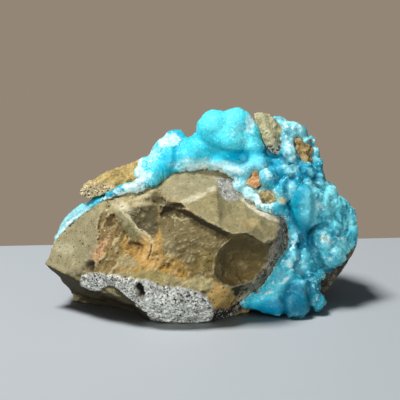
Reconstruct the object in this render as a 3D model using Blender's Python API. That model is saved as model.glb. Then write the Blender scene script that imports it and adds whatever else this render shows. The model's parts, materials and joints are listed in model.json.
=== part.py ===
"""Blue hemimorphite on a broken block of host rock, as someone would set it down on a table.

The block of rock is one solid, with its broken faces to the front. A crust of hemimorphite, a mass
of round lobes grown into each other, covers its top, its right side and part of its back. Loose
pieces of the same rock are cemented into the crust. Each piece is a solid of its own, 0.3 mm or
more clear of its neighbours. +X is to the right, +Y is to the back, +Z is up, and the piece rests
on the surface at z = 0.
"""

import math
import random

import bmesh
import bpy
from mathutils import Matrix, Vector, geometry, noise
from mathutils.bvhtree import BVHTree
from mathutils.interpolate import poly_3d_calc as interpolation_weights

MM = 0.001

# The front view that the sizes below were read in: its tilt above the horizon, how far off it
# stands, and the height that its middle line aims at, in millimetres.
VIEW_TILT = math.radians(13.0)
VIEW_DISTANCE = 500.0
AIM_HEIGHT = 35.8

# Driving dimensions, in millimetres.
GAP = 0.35
ROCK_CENTRE = Vector((0.0, 2.0, 24.0))
ROCK_EDGE = 1.5
ROCK_TRIANGLES = 2600
ROCK_SCOOP_DEPTH = 2.2
ROCK_SCOOP_SIZE = 13.0
ROCK_LUMP_HEIGHT = 0.18
FRONT_LIMIT = 4.0
SNAP_REACH = 0.6
SCOOP_START = 7.0
CRUST_VOXEL = 0.75
CRUST_TRIANGLES = 3250
CRUST_LUMP_HEIGHT = 0.3
CLAST_TRIANGLES = 104

# Lines along the block's broken front, as (right, up, back): millimetres to the right of the middle
# line, up the front view from the aim point, and behind the plane through the origin.
FRONT_OUTLINE = [
    (-51.6, -21.2, -6.0),
    (-49.2, -15.7, -2.0),
    (-46.4, -11.6, 0.0),
    (-43.0, -8.1, 0.0),
    (-39.5, -5.4, -1.0),
    (-36.8, -3.3, -2.0),
    (-32.6, -0.5, -3.0),
    (-27.8, 1.2, -4.5),
    (-22.2, 1.2, -6.0),
    (-17.4, 1.9, -8.0),
    (-13.3, 4.0, -5.5),
    (-9.1, 7.4, -1.5),
    (-5.7, 9.2, 0.5),
    (-0.8, 9.5, 2.0),
    (4.0, 8.5, 2.0),
    (7.5, 7.8, 1.0),
    (10.2, 4.3, -1.0),
    (14.4, 0.2, -3.0),
    (18.5, -2.6, -5.0),
    (23.4, -4.3, -6.0),
    (27.5, -5.4, -5.0),
    (29.6, -9.5, -4.0),
    (30.6, -15.0, -4.0),
    (28.2, -19.2, -8.0),
    (24.7, -21.2, -12.0),
    (23.4, -25.4, -12.0),
    (19.9, -29.5, -12.0),
    (13.0, -31.3, -15.0),
    (10.9, -35.1, -17.0),
    (5.4, -39.2, -21.0),
    (0.5, -40.6, -22.0),
    (-6.4, -39.9, -23.0),
    (-14.6, -38.9, -23.5),
    (-20.9, -35.8, -23.5),
    (-25.7, -32.3, -22.5),
    (-29.2, -28.8, -20.5),
    (-33.3, -29.9, -18.0),
    (-38.8, -28.5, -15.5),
    (-40.2, -25.4, -15.5),
    (-46.0, -24.2, -10.5),
]
LEFT_FACET_CREST = [
    (-32.6, -0.5, -3.0),
    (-34.3, -8.1, -12.0),
    (-34.3, -15.0, -17.0),
    (-35.7, -20.6, -19.0),
    (-39.5, -21.9, -16.0),
    (-40.2, -25.4, -15.5),
]
LEFT_HOLLOW = [
    (-30.5, -2.5, -5.0),
    (-29.5, -8.5, -9.0),
    (-26.0, -13.0, -13.5),
    (-22.5, -16.5, -17.5),
]
NOTCH_CREST = [
    (-27.1, -1.2, -7.0),
    (-26.0, -4.3, -12.5),
    (-21.6, -9.5, -18.0),
    (-16.4, -14.7, -22.5),
]
NOTCH_HOLLOW = [
    (-14.5, -1.5, -9.0),
    (-14.0, -5.5, -10.0),
    (-13.6, -9.5, -14.5),
]
MIDDLE_CREST = [
    (-13.6, -9.5, -14.5),
    (-11.9, -15.0, -24.5),
    (-9.1, -19.2, -27.0),
    (-5.7, -25.4, -28.5),
]
UPPER_LEDGE = [
    (-10.5, 0.2, -13.0),
    (-5.0, 2.0, -12.0),
    (1.2, 3.4, -10.0),
    (5.4, 4.7, -7.5),
]
LONG_CREST = [
    (-11.9, -1.2, -15.0),
    (-5.7, -0.5, -16.0),
    (-5.0, -2.6, -17.5),
    (-0.8, -5.4, -20.5),
    (6.1, -8.8, -24.5),
    (10.9, -11.2, -27.0),
    (15.8, -10.9, -25.5),
    (21.3, -14.3, -23.0),
    (25.1, -13.6, -17.5),
    (26.8, -9.5, -11.0),
    (27.5, -5.4, -5.0),
]
UNDER_CREST = [
    (-9.0, -3.4, -12.5),
    (-3.5, -6.0, -16.0),
    (3.0, -9.9, -20.3),
    (8.0, -12.2, -23.2),
]
SCOOP_RIM = [
    (10.9, -12.4, -25.5),
    (7.5, -15.0, -26.8),
    (5.0, -19.9, -27.6),
    (4.7, -24.7, -28.2),
    (7.5, -28.2, -27.6),
    (10.9, -29.2, -25.0),
    (14.4, -28.2, -21.0),
    (18.5, -26.1, -17.5),
    (22.7, -21.2, -15.0),
    (23.2, -17.0, -17.0),
    (20.8, -15.8, -19.0),
    (15.6, -12.6, -22.5),
    (10.9, -12.4, -25.5),
]
HUMP_CREST = [
    (-23.6, -24.2, -25.0),
    (-17.4, -22.8, -27.2),
    (-9.1, -23.6, -28.2),
    (-5.7, -25.4, -28.5),
    (-0.8, -25.2, -28.2),
    (3.6, -26.6, -28.8),
    (7.0, -30.0, -27.5),
]
COAT_TOP = [
    (-40.2, -25.4, -15.5),
    (-36.8, -24.6, -19.5),
    (-30.5, -25.2, -23.5),
    (-23.6, -26.4, -27.2),
    (-16.0, -27.8, -29.2),
    (-10.5, -28.2, -29.6),
    (-5.0, -29.4, -29.8),
    (-0.8, -31.2, -29.3),
    (2.6, -34.4, -27.2),
    (4.4, -36.5, -24.5),
]
FRONT_LINES = [
    FRONT_OUTLINE + FRONT_OUTLINE[:1],
    LEFT_FACET_CREST,
    LEFT_HOLLOW,
    NOTCH_CREST,
    NOTCH_HOLLOW,
    MIDDLE_CREST,
    UPPER_LEDGE,
    LONG_CREST,
    UNDER_CREST,
    SCOOP_RIM,
    HUMP_CREST,
    COAT_TOP,
]
FRONT_SPOTS = [
    (-40.0, -14.0, -9.0),
    (-45.0, -18.0, -6.5),
    (-24.5, -1.5, -8.0),
    (-19.5, -1.2, -8.5),
    (-8.0, -12.0, -23.2),
    (0.0, -14.5, -25.6),
    (-4.0, -19.5, -27.2),
    (1.5, -20.0, -27.4),
    (-17.0, -19.5, -24.2),
    (-24.0, -20.0, -22.0),
    (-30.0, -20.0, -20.5),
    (-36.0, -22.9, -18.8),
    (9.8, -17.0, -20.0),
    (8.2, -21.0, -21.0),
    (9.6, -25.8, -21.0),
    (13.0, -20.5, -15.5),
    (13.0, -25.0, -17.0),
    (17.5, -20.0, -14.5),
    (15.6, -15.6, -18.0),
    (28.3, -12.0, -6.5),
    (26.3, -17.5, -12.5),
    (-34.0, -27.3, -20.5),
    (-27.0, -28.3, -25.2),
    (-22.0, -31.0, -27.0),
    (-16.0, -33.0, -29.5),
    (-8.0, -34.0, -30.0),
    (-1.0, -35.5, -28.5),
    (-12.0, -37.2, -27.0),
    (-4.0, -38.3, -26.0),
    (8.5, -32.5, -24.5),
]
# The hollow under the granular lobe, which the front view shows in deep shade.
UNDERCUT = [
    (-38.5, -31.0, -8.5),
    (-34.0, -31.5, -8.5),
    (-28.5, -31.8, -9.5),
    (-24.5, -34.3, -11.5),
    (-31.0, -33.6, -6.0),
    (-46.5, -26.3, -5.0),
]

# Corners that the front view doesn't show, as x, y and z.
FOOT = [
    (3.0, -20.0, -2.5),
    (-7.0, -21.5, -2.5),
    (-14.0, -17.5, -2.5),
    (-21.0, -9.0, -2.5),
    (-31.0, -2.0, -2.5),
    (-41.0, 2.0, -2.5),
    (-38.0, 15.0, -2.5),
    (-25.0, 26.0, -2.5),
    (0.0, 30.0, -2.5),
    (20.0, 26.0, -2.5),
    (33.0, 12.0, -2.5),
    (28.0, -2.0, -2.5),
    (15.0, -12.0, -2.5),
    (0.0, 2.0, -2.5),
]
LEFT_UNDERSIDE = [(-47.0, 1.0, 7.0), (-44.5, 2.0, 4.0), (-47.0, 10.0, 14.0)]
RIGHT_UNDERSIDE = [(42.0, 2.0, 3.0), (49.0, 4.0, 9.0), (52.5, 5.0, 15.0), (22.0, -6.0, 8.0)]
RIGHT_END = [
    (54.0, 6.0, 21.0),
    (53.0, 8.0, 26.0),
    (40.0, 0.0, 16.0),
    (38.0, 1.0, 24.0),
    (50.0, 16.0, 22.0),
    (45.0, 20.0, 12.0),
    (47.0, 8.0, 29.0),
]
BACK_FACE = [
    (-46.0, 11.0, 21.0),
    (-40.0, 20.0, 25.0),
    (-42.0, 20.0, 12.0),
    (-29.0, 30.0, 25.0),
    (-26.0, 31.0, 9.0),
    (-26.0, 25.0, 32.0),
    (-12.0, 35.0, 22.0),
    (-7.0, 31.0, 38.0),
    (-4.0, 35.0, 7.0),
    (9.0, 37.0, 27.0),
    (11.0, 31.0, 42.0),
    (15.0, 34.0, 10.0),
    (27.0, 28.0, 42.0),
    (29.0, 32.0, 28.0),
    (31.0, 29.0, 12.0),
    (42.0, 23.0, 32.0),
]
TOP_FACE = [
    (-38.0, 8.0, 30.0),
    (-28.0, 10.0, 35.0),
    (-18.0, 10.0, 41.0),
    (-8.0, 12.0, 47.0),
    (4.0, 14.0, 51.0),
    (14.0, 16.0, 54.0),
    (24.0, 17.0, 52.0),
    (33.0, 15.0, 47.0),
    (40.0, 12.0, 39.0),
    (34.0, 4.0, 38.0),
    (26.0, 4.0, 42.0),
    (12.0, 8.0, 47.0),
]
HIDDEN_CORNERS = (
    FOOT + LEFT_UNDERSIDE + RIGHT_UNDERSIDE + RIGHT_END + BACK_FACE + TOP_FACE
)

# Lobes of the crust that the front view shows, as (right, up, back, radius).
LEFT_LOBES = [
    (-47.0, -13.0, 2.0, 2.3),
    (-45.3, -9.5, 3.0, 2.5),
    (-43.7, -7.0, 3.0, 2.6),
    (-41.5, -5.0, 4.0, 2.7),
    (-39.3, -3.0, 4.0, 2.5),
    (-39.3, -5.7, 2.0, 2.0),
    (-37.7, -3.7, 1.0, 2.0),
    (-36.0, -2.0, 0.0, 2.0),
    (-33.3, -0.3, -1.0, 1.8),
    (-30.5, 2.0, -2.0, 1.7),
    (-27.3, 3.3, -3.0, 2.0),
    (-24.0, 3.7, -3.0, 2.2),
    (-20.7, 4.5, -4.0, 2.5),
]
UPPER_LEFT_LOBES = [
    (-20.0, 8.5, 2.0, 2.5),
    (-18.5, 12.0, 5.0, 2.3),
    (-16.7, 6.7, -2.0, 3.0),
    (-16.7, 11.7, 5.0, 2.7),
    (-14.0, 9.3, 2.0, 3.3),
    (-13.3, 15.0, 7.0, 3.3),
    (-11.7, 16.7, 8.0, 4.0),
    (-9.3, 13.3, 5.0, 4.7),
    (-8.3, 19.8, 10.0, 3.7),
]
DOME_LOBES = [
    (0.0, 16.0, 7.0, 6.0),
    (-3.3, 13.3, 5.0, 4.7),
    (5.0, 14.0, 6.0, 3.3),
    (5.0, 24.0, 7.0, 6.0),
    (12.0, 24.7, 8.0, 6.0),
    (9.3, 20.7, 5.0, 5.3),
    (16.0, 21.7, 7.0, 4.7),
    (18.3, 16.7, 4.0, 3.0),
]
RIM_LOBES = [
    (-7.3, 10.7, 2.0, 2.3),
    (-3.3, 12.3, 4.0, 2.3),
    (0.0, 12.3, 4.0, 2.3),
    (4.0, 12.3, 4.0, 2.7),
    (7.3, 12.7, 3.0, 3.0),
    (11.0, 10.7, 1.5, 3.0),
    (14.3, 9.3, 0.5, 2.7),
    (19.3, 12.7, 1.0, 3.3),
    (22.7, 7.3, -2.0, 3.0),
    (26.7, 1.7, -4.0, 3.3),
    (13.3, 5.0, -0.5, 2.7),
    (16.7, 1.7, -2.0, 2.7),
    (20.7, -1.7, -4.0, 2.7),
    (25.0, -2.7, -5.0, 2.7),
    (27.7, -4.0, -4.5, 2.0),
    (29.5, 4.5, -2.0, 3.2),
]
UPPER_RIGHT_LOBES = [
    (25.5, 25.0, 13.0, 3.0),
    (30.0, 23.0, 10.0, 3.3),
    (32.7, 21.0, 10.0, 3.0),
    (28.7, 20.0, 7.0, 2.7),
    (29.3, 15.0, 4.0, 3.0),
    (35.0, 19.0, 9.0, 2.3),
    (36.8, 19.5, 10.0, 1.4),
    (37.8, 15.5, 8.0, 2.0),
    (38.5, 11.5, 7.0, 2.3),
    (26.7, 10.0, 1.0, 2.7),
    (30.7, 8.3, 0.0, 3.0),
    (35.0, 7.3, 2.0, 3.0),
    (39.3, 6.5, 5.0, 3.0),
    (42.0, 2.7, 5.0, 3.0),
    (33.3, 11.7, 4.0, 2.7),
]
RIGHT_LOBES = [
    (35.0, 0.0, -2.0, 5.0),
    (35.0, -5.0, -3.0, 4.7),
    (32.7, -10.0, -4.0, 3.3),
    (40.0, -1.7, 0.0, 4.0),
    (44.0, -3.3, 2.5, 3.3),
    (46.0, -2.5, 5.0, 2.8),
    (49.0, -4.3, 6.0, 2.3),
    (49.7, -6.7, 5.5, 2.7),
    (49.5, -11.0, 4.5, 2.8),
    (45.0, -8.3, 1.0, 3.7),
    (40.7, -7.3, -1.0, 3.3),
    (40.7, -13.3, -1.0, 4.7),
    (42.7, -17.3, -1.0, 4.3),
    (39.3, -18.3, -2.0, 3.3),
    (45.0, -15.0, 1.0, 4.0),
    (48.3, -13.3, 3.0, 3.3),
    (41.7, -21.7, -1.0, 2.7),
]
LOWER_RIGHT_LOBES = [
    (32.0, -13.3, -6.0, 2.3),
    (30.7, -18.3, -8.0, 2.7),
    (33.3, -19.3, -6.0, 3.0),
    (34.3, -23.3, -7.0, 3.0),
    (32.3, -27.3, -9.0, 3.0),
    (28.3, -20.7, -10.0, 2.7),
    (26.7, -24.0, -11.0, 3.0),
    (25.0, -27.3, -12.0, 2.7),
    (22.7, -30.0, -12.0, 2.7),
    (15.0, -34.0, -14.0, 2.0),
    (18.3, -33.7, -14.0, 2.7),
    (21.7, -33.3, -14.0, 3.0),
    (25.0, -31.7, -14.0, 3.0),
    (27.7, -29.3, -13.0, 3.0),
    (30.0, -26.7, -12.0, 3.0),
    (19.0, -34.8, -15.0, 2.0),
    (22.5, -35.4, -15.0, 2.6),
    (25.6, -35.4, -15.5, 3.0),
    (28.3, -34.0, -14.5, 4.0),
    (31.4, -34.4, -14.0, 4.0),
    (32.0, -33.3, -14.0, 3.3),
    (33.3, -30.0, -13.0, 3.7),
    (36.7, -30.0, -11.0, 3.3),
    (37.7, -33.3, -12.0, 3.0),
    (39.0, -34.0, -12.0, 2.3),
    (36.0, -26.7, -9.0, 3.0),
    (38.3, -25.0, -6.0, 2.7),
]
SEEN_LOBES = (
    LEFT_LOBES + UPPER_LEFT_LOBES + DOME_LOBES + RIM_LOBES + UPPER_RIGHT_LOBES
    + RIGHT_LOBES + LOWER_RIGHT_LOBES
)

# Thick parts of the crust behind those lobes, as x, y, z and radius.
CRUST_BODY = [
    (5.0, 12.0, 51.0, 7.0),
    (12.0, 13.0, 53.0, 7.5),
    (0.0, 12.0, 47.0, 6.0),
    (-8.0, 11.0, 45.0, 5.5),
    (-15.0, 9.0, 41.0, 5.0),
    (20.0, 13.0, 51.0, 7.0),
    (27.0, 10.0, 47.0, 7.0),
    (34.0, 8.0, 41.0, 6.5),
    (20.0, 4.0, 45.0, 5.0),
    (24.0, 1.0, 38.0, 5.0),
    (40.0, 7.0, 34.0, 6.0),
    (46.0, 9.0, 29.0, 5.0),
    (32.0, -1.0, 30.0, 5.5),
    (36.0, 0.0, 20.0, 5.5),
    (28.0, -8.0, 8.0, 5.0),
    (34.0, -4.0, 10.0, 5.5),
    (24.0, -9.0, 6.0, 4.0),
    (30.0, -4.0, 14.0, 5.0),
]

# Back edge of the crust: it ends at this height on the back face, and rises and falls by the wave.
BACK_EDGE_HEIGHT = 27.0
BACK_EDGE_WAVE = 5.0
HIDDEN_LOBE_RADII = (2.8, 5.6)
HIDDEN_LOBE_SPACING = 4.4

# Larger domes on the back of the crust, as x, y, z and radius.
BACK_DOMES = [
    (-34.0, 18.0, 29.0, 5.0),
    (-23.0, 24.0, 32.0, 6.0),
    (-10.0, 24.0, 42.0, 6.0),
    (-15.0, 30.0, 31.0, 6.0),
    (2.0, 20.0, 47.0, 7.0),
    (10.0, 29.0, 44.0, 7.5),
    (21.0, 25.0, 47.0, 7.0),
    (33.0, 20.0, 42.0, 7.0),
    (43.0, 15.0, 29.0, 5.0),
    (28.0, 30.0, 33.0, 6.0),
]

# Outline of the front view over which no hidden lobe may stand, as (right, up), and how far to the
# right one may reach.
SKYLINE = [
    (-60.0, -16.0),
    (-50.0, -16.0),
    (-43.0, -5.0),
    (-40.0, 0.0),
    (-35.0, 6.0),
    (-30.0, 8.5),
    (-24.0, 10.0),
    (-20.0, 12.0),
    (-13.0, 18.0),
    (-8.0, 21.5),
    (-2.0, 19.5),
    (0.0, 23.5),
    (5.0, 28.5),
    (16.0, 29.0),
    (22.0, 28.0),
    (27.0, 26.0),
    (33.0, 22.5),
    (38.0, 17.0),
    (40.0, 11.0),
    (45.0, 0.5),
    (50.0, -4.0),
    (60.0, -10.0),
]
RIGHT_LIMIT = 51.5

# Pieces of rock set in the crust: corners that show as (right, up, back), then hidden ones.
TOP_CLAST = [
    (17.9, 29.0, 11.0),
    (22.0, 29.6, 11.0),
    (25.0, 27.5, 10.0),
    (27.3, 24.0, 8.0),
    (28.0, 19.5, 6.0),
    (26.8, 14.8, 3.5),
    (24.3, 15.5, 3.0),
    (21.5, 19.0, 4.0),
    (19.3, 24.0, 6.5),
    (23.5, 22.0, 3.5),
    (19.0, 25.0, 17.0),
    (26.0, 24.0, 16.0),
    (26.0, 15.0, 12.0),
    (21.0, 17.0, 13.0),
]
LEFT_CLAST = [
    (-40.0, 1.7, 5.0),
    (-36.7, 0.3, 2.0),
    (-33.3, 1.6, 1.0),
    (-26.7, 3.9, 0.0),
    (-21.7, 6.5, 1.0),
    (-18.3, 10.0, 4.0),
    (-18.2, 14.0, 8.0),
    (-20.0, 13.4, 9.0),
    (-24.0, 11.5, 9.0),
    (-30.0, 10.0, 9.0),
    (-35.0, 7.7, 9.0),
    (-39.2, 5.0, 8.0),
    (-28.0, 6.8, 1.0),
    (-38.0, 3.0, 14.0),
    (-30.0, 5.0, 18.0),
    (-22.0, 9.0, 17.0),
    (-19.0, 9.0, 13.0),
]
RIGHT_CLAST = [
    (31.4, 21.3, 6.5),
    (34.0, 20.0, 5.5),
    (36.3, 18.3, 6.0),
    (37.9, 16.7, 6.5),
    (37.6, 14.0, 5.0),
    (36.7, 11.3, 3.5),
    (35.0, 12.3, 2.5),
    (33.0, 14.3, 2.5),
    (32.0, 17.0, 3.5),
    (33.0, 19.0, 12.0),
    (37.0, 15.0, 12.0),
    (35.0, 12.0, 10.0),
]
ORANGE_CLAST = [
    (15.3, 5.3, -2.5),
    (17.3, 8.0, -2.0),
    (18.2, 10.3, -1.0),
    (20.2, 9.5, -2.0),
    (20.8, 6.5, -3.0),
    (20.2, 4.5, -4.0),
    (18.8, 3.9, -4.0),
    (16.5, 6.0, 3.0),
    (19.5, 8.0, 4.0),
    (19.0, 5.0, 3.0),
]
PIT_CLAST = [
    (19.8, 3.2, -5.0),
    (23.0, 3.2, -5.5),
    (26.5, 1.2, -6.0),
    (27.0, -1.0, -6.5),
    (24.0, -1.6, -6.5),
    (20.5, -1.1, -5.5),
    (21.0, 2.0, 1.0),
    (25.0, 1.0, 0.0),
    (23.0, -1.0, 0.0),
]


def seen(right, up, back):
    """World place, in millimetres, of a point given as the front view shows it."""
    sine, cosine = math.sin(VIEW_TILT), math.cos(VIEW_TILT)
    above = (up + up * back * cosine / VIEW_DISTANCE - back * sine) / (
        cosine + up * sine / VIEW_DISTANCE
    )
    distance = VIEW_DISTANCE + back * cosine - above * sine
    return Vector((right * distance / VIEW_DISTANCE, back, AIM_HEIGHT + above))


def on_front_view(place):
    """Right and up of a point of the world, as the front view shows it."""
    sine, cosine = math.sin(VIEW_TILT), math.cos(VIEW_TILT)
    above = place.z - AIM_HEIGHT
    shrink = VIEW_DISTANCE / (VIEW_DISTANCE + place.y * cosine - above * sine)
    return place.x * shrink, (place.y * sine + above * cosine) * shrink


class FrontFaces:
    """The broken front as flat faces between its crests, ledges and hollows."""

    def __init__(self, lines, spots):
        """Joins the points of the lines and the spots into triangles that keep every line."""
        number = {}
        edges = []
        for line in lines:
            for point in line:
                number.setdefault(point[:2], (len(number), point[2]))
            for start, end in zip(line, line[1:]):
                edges.append((number[start[:2]][0], number[end[:2]][0]))
        for spot in spots:
            number.setdefault(spot[:2], (len(number), spot[2]))
        flat = [Vector(key) for key in number]
        depth = [back for _, back in number.values()]
        made = geometry.delaunay_2d_cdt(flat, edges, [], 0, 0.001)
        self.points, self.triangles, origins = made[0], made[2], made[3]
        self.depths = [depth[origin[0]] if origin else depth[0] for origin in origins]
        self.lines = [(flat[start], flat[end]) for start, end in edges]
        corners = [(point.x, point.y, 0.0) for point in self.points]
        self.tree = BVHTree.FromPolygons(corners, self.triangles)

    def depth(self, right, up):
        """How far back the front is at a place of the front view, or None outside its outline."""
        found = self.tree.ray_cast(Vector((right, up, 1.0)), Vector((0.0, 0.0, -1.0)))
        if found[2] is None:
            return None
        corners = [self.points[index].to_3d() for index in self.triangles[found[2]]]
        backs = [self.depths[index] for index in self.triangles[found[2]]]
        weights = interpolation_weights(corners, Vector((right, up, 0.0)))
        return sum(weight * back for weight, back in zip(weights, backs))

    def snapped(self, right, up, reach):
        """The place moved onto the nearest line if one is within reach."""
        place = Vector((right, up))
        best, distance = place, reach
        for start, end in self.lines:
            near, share = geometry.intersect_point_line(place, start, end)
            near = start.lerp(end, min(1.0, max(0.0, share)))
            if (near - place).length < distance:
                best, distance = near, (near - place).length
        return best.x, best.y


def star_mesh(corners, centre):
    """A closed mesh through the corners, each joined to those next to it as seen from centre."""
    mesh = bmesh.new()
    place = {}
    for corner in corners:
        vertex = mesh.verts.new((corner - centre).normalized())
        place[vertex] = corner
    bmesh.ops.convex_hull(mesh, input=mesh.verts)
    for vertex in mesh.verts:
        vertex.co = place[vertex]
    return mesh


def split_edge(mesh, edge):
    """Halves an edge and joins its middle to the far corner of each triangle beside it."""
    middle = bmesh.utils.edge_split(edge, edge.verts[0], 0.5)[1]
    for face in list(middle.link_faces):
        near = {link.other_vert(middle) for link in middle.link_edges}
        far = [vertex for vertex in face.verts if vertex != middle and vertex not in near]
        bmesh.utils.face_split(face, middle, far[0])


def split_long_edges(mesh, longest):
    """Halves edges, the longest first, until none is longer than the limit."""
    while True:
        long_edges = [edge for edge in mesh.edges if edge.calc_length() > longest]
        if not long_edges:
            return
        long_edges.sort(key=lambda edge: -edge.calc_length())
        used = set()
        chosen = []
        for edge in long_edges:
            if not used.intersection(edge.link_faces):
                used.update(edge.link_faces)
                chosen.append(edge)
        for edge in chosen:
            split_edge(mesh, edge)


def add_lumps(mesh, height, size, seed):
    """Moves each vertex along its normal by a smooth noise with lumps of that size."""
    mesh.normal_update()
    shift = Vector((seed * 17.3, seed * 5.1, seed * 9.7))
    moves = []
    for vertex in mesh.verts:
        place = vertex.co / size + shift
        amount = noise.noise(place) + 0.5 * noise.noise(place * 2.3) + 0.25 * noise.noise(place * 5.1)
        moves.append(vertex.normal * amount * height)
    for vertex, move in zip(mesh.verts, moves):
        vertex.co += move


def outline_distance(place):
    """How far a place is from the line around the broken front, in millimetres."""
    corners = [seen(*point) for point in FRONT_OUTLINE + FRONT_OUTLINE[:1]]
    nearest = math.inf
    for start, end in zip(corners, corners[1:]):
        share = geometry.intersect_point_line(place, start, end)[1]
        nearest = min(nearest, (start.lerp(end, min(1.0, max(0.0, share))) - place).length)
    return nearest


def add_scoops(mesh, still, depth, size, seed):
    """Moves the vertices that aren't still along their normals: shallow bowls with sharp crests."""
    mesh.normal_update()
    shift = Vector((seed * 7.7, seed * 3.9, seed * 11.3))
    moves = []
    for vertex in mesh.verts:
        if vertex in still:
            continue
        nearest = noise.voronoi(vertex.co / size + shift)[0][0]
        share = min(1.0, outline_distance(vertex.co) / SCOOP_START)
        moves.append((vertex, vertex.normal * (nearest * nearest - 0.35) * depth * share))
    for vertex, move in moves:
        vertex.co += move


def cut_below(mesh, height):
    """Cuts the mesh off flat at that height and closes it."""
    cut = bmesh.ops.bisect_plane(
        mesh,
        geom=mesh.verts[:] + mesh.edges[:] + mesh.faces[:],
        plane_co=(0.0, 0.0, height),
        plane_no=(0.0, 0.0, -1.0),
        clear_outer=True,
    )
    edges = [item for item in cut["geom_cut"] if isinstance(item, bmesh.types.BMEdge)]
    bmesh.ops.holes_fill(mesh, edges=edges)


def keep_largest_body(mesh):
    """Deletes every body but the one with the most vertices."""
    left = set(mesh.verts)
    bodies = []
    while left:
        stack = [left.pop()]
        body = set(stack)
        while stack:
            for edge in stack.pop().link_edges:
                for vertex in edge.verts:
                    if vertex in left:
                        left.discard(vertex)
                        body.add(vertex)
                        stack.append(vertex)
        bodies.append(body)
    bodies.sort(key=len)
    for body in bodies[:-1]:
        bmesh.ops.delete(mesh, geom=list(body), context="VERTS")


def new_object(name, mesh, scale=MM):
    """Links an object that holds the mesh, in metres, and frees the mesh."""
    bmesh.ops.recalc_face_normals(mesh, faces=mesh.faces)
    bmesh.ops.scale(mesh, vec=(scale, scale, scale), verts=mesh.verts)
    data = bpy.data.meshes.new(name)
    mesh.to_mesh(data)
    mesh.free()
    made = bpy.data.objects.new(name, data)
    bpy.context.scene.collection.objects.link(made)
    return made


def mesh_of(thing):
    """A free copy of the object's mesh as its modifiers leave it."""
    graph = bpy.context.evaluated_depsgraph_get()
    mesh = bmesh.new()
    mesh.from_object(thing, graph)
    return mesh


def bake_modifiers(thing):
    """Puts the evaluated mesh in the object in place of its modifiers."""
    mesh = mesh_of(thing)
    thing.modifiers.clear()
    mesh.to_mesh(thing.data)
    mesh.free()


def decimate(thing, triangles):
    """Thins the object's mesh to about that many triangles."""
    thin = thing.modifiers.new("thin", "DECIMATE")
    thin.ratio = min(1.0, triangles / max(1, len(thing.data.polygons)))
    thin.use_collapse_triangulate = True
    bake_modifiers(thing)


def grown_copy(thing, distance):
    """A cutter: the object's mesh moved outwards by that many millimetres."""
    mesh = mesh_of(thing)
    mesh.normal_update()
    for vertex in mesh.verts:
        vertex.co += vertex.normal * distance * MM
    cutter = new_object(thing.name + "_room", mesh, scale=1.0)
    cutter.hide_render = True
    cutter.display_type = "WIRE"
    return cutter


def cut_by(thing, cutter):
    """Takes the cutter's space away from the object."""
    cut = thing.modifiers.new("room", "BOOLEAN")
    cut.operation = "DIFFERENCE"
    cut.solver = "EXACT"
    cut.use_self = True
    cut.object = cutter
    bake_modifiers(thing)
    mesh = bmesh.new()
    mesh.from_mesh(thing.data)
    keep_largest_body(mesh)
    mesh.to_mesh(thing.data)
    mesh.free()


def give_material(thing, name, colour, roughness):
    """A plain Principled material of that colour."""
    material = bpy.data.materials.new(name)
    material.use_nodes = True
    shader = material.node_tree.nodes["Principled BSDF"]
    shader.inputs["Base Color"].default_value = (*colour, 1.0)
    shader.inputs["Roughness"].default_value = roughness
    shader.inputs["Metallic"].default_value = 0.0
    thing.data.materials.clear()
    thing.data.materials.append(material)


def set_front(mesh, faces):
    """Moves the vertices that the front view shows onto the front's faces and lines.

    Args:
        mesh: The block's mesh, in millimetres.
        faces: The broken front.

    Returns:
        The vertices of the front.
    """
    mesh.normal_update()
    to_eye = Vector((0.0, -math.cos(VIEW_TILT), math.sin(VIEW_TILT)))
    shown = set()
    for vertex in mesh.verts:
        if vertex.co.y > FRONT_LIMIT or vertex.normal.dot(to_eye) < 0.02:
            continue
        right, up = on_front_view(vertex.co)
        if faces.depth(right, up) is None:
            continue
        right, up = faces.snapped(right, up, SNAP_REACH)
        back = faces.depth(right, up)
        if back is not None:
            vertex.co = seen(right, up, back)
            shown.add(vertex)
    return shown


def host_rock():
    """The block of olive brown rock, with broken faces in front and a flat foot."""
    front = []
    for line in FRONT_LINES + [FRONT_SPOTS, UNDERCUT]:
        front += [point for point in line if point not in front]
    corners = [seen(*point) for point in front]
    corners += [Vector(corner) for corner in HIDDEN_CORNERS]
    mesh = star_mesh(corners, ROCK_CENTRE)
    bmesh.ops.recalc_face_normals(mesh, faces=mesh.faces)
    split_long_edges(mesh, ROCK_EDGE)
    shown = set_front(mesh, FrontFaces(FRONT_LINES, FRONT_SPOTS))
    add_scoops(mesh, shown, ROCK_SCOOP_DEPTH, ROCK_SCOOP_SIZE, 3)
    add_lumps(mesh, ROCK_LUMP_HEIGHT, 5.0, 1)
    rock = new_object("host_rock", mesh)
    decimate(rock, ROCK_TRIANGLES)
    mesh = mesh_of(rock)
    cut_below(mesh, 0.0)
    keep_largest_body(mesh)
    mesh.to_mesh(rock.data)
    mesh.free()
    give_material(rock, "host rock", (0.30, 0.25, 0.13), 0.8)
    return rock


def hull_piece(name, corners, triangles, seed):
    """A broken piece of rock: the hull of its corners with a rough surface."""
    mesh = bmesh.new()
    for corner in corners:
        mesh.verts.new(seen(*corner))
    bmesh.ops.convex_hull(mesh, input=mesh.verts)
    loose = [vertex for vertex in mesh.verts if not vertex.link_faces]
    bmesh.ops.delete(mesh, geom=loose, context="VERTS")
    split_long_edges(mesh, 1.6)
    add_lumps(mesh, 0.45, 3.0, seed)
    piece = new_object(name, mesh)
    decimate(piece, triangles)
    return piece


def is_covered(place):
    """Whether the crust lies over the block at this place, out of the front view's sight."""
    if place.y < 6.0 or place.x < -43.0:
        return False
    wave = BACK_EDGE_WAVE * noise.noise(Vector((place.x / 14.0, 3.0, 7.0)))
    return place.z > BACK_EDGE_HEIGHT + wave or (place.x > 36.0 and place.z > 24.0)


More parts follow.
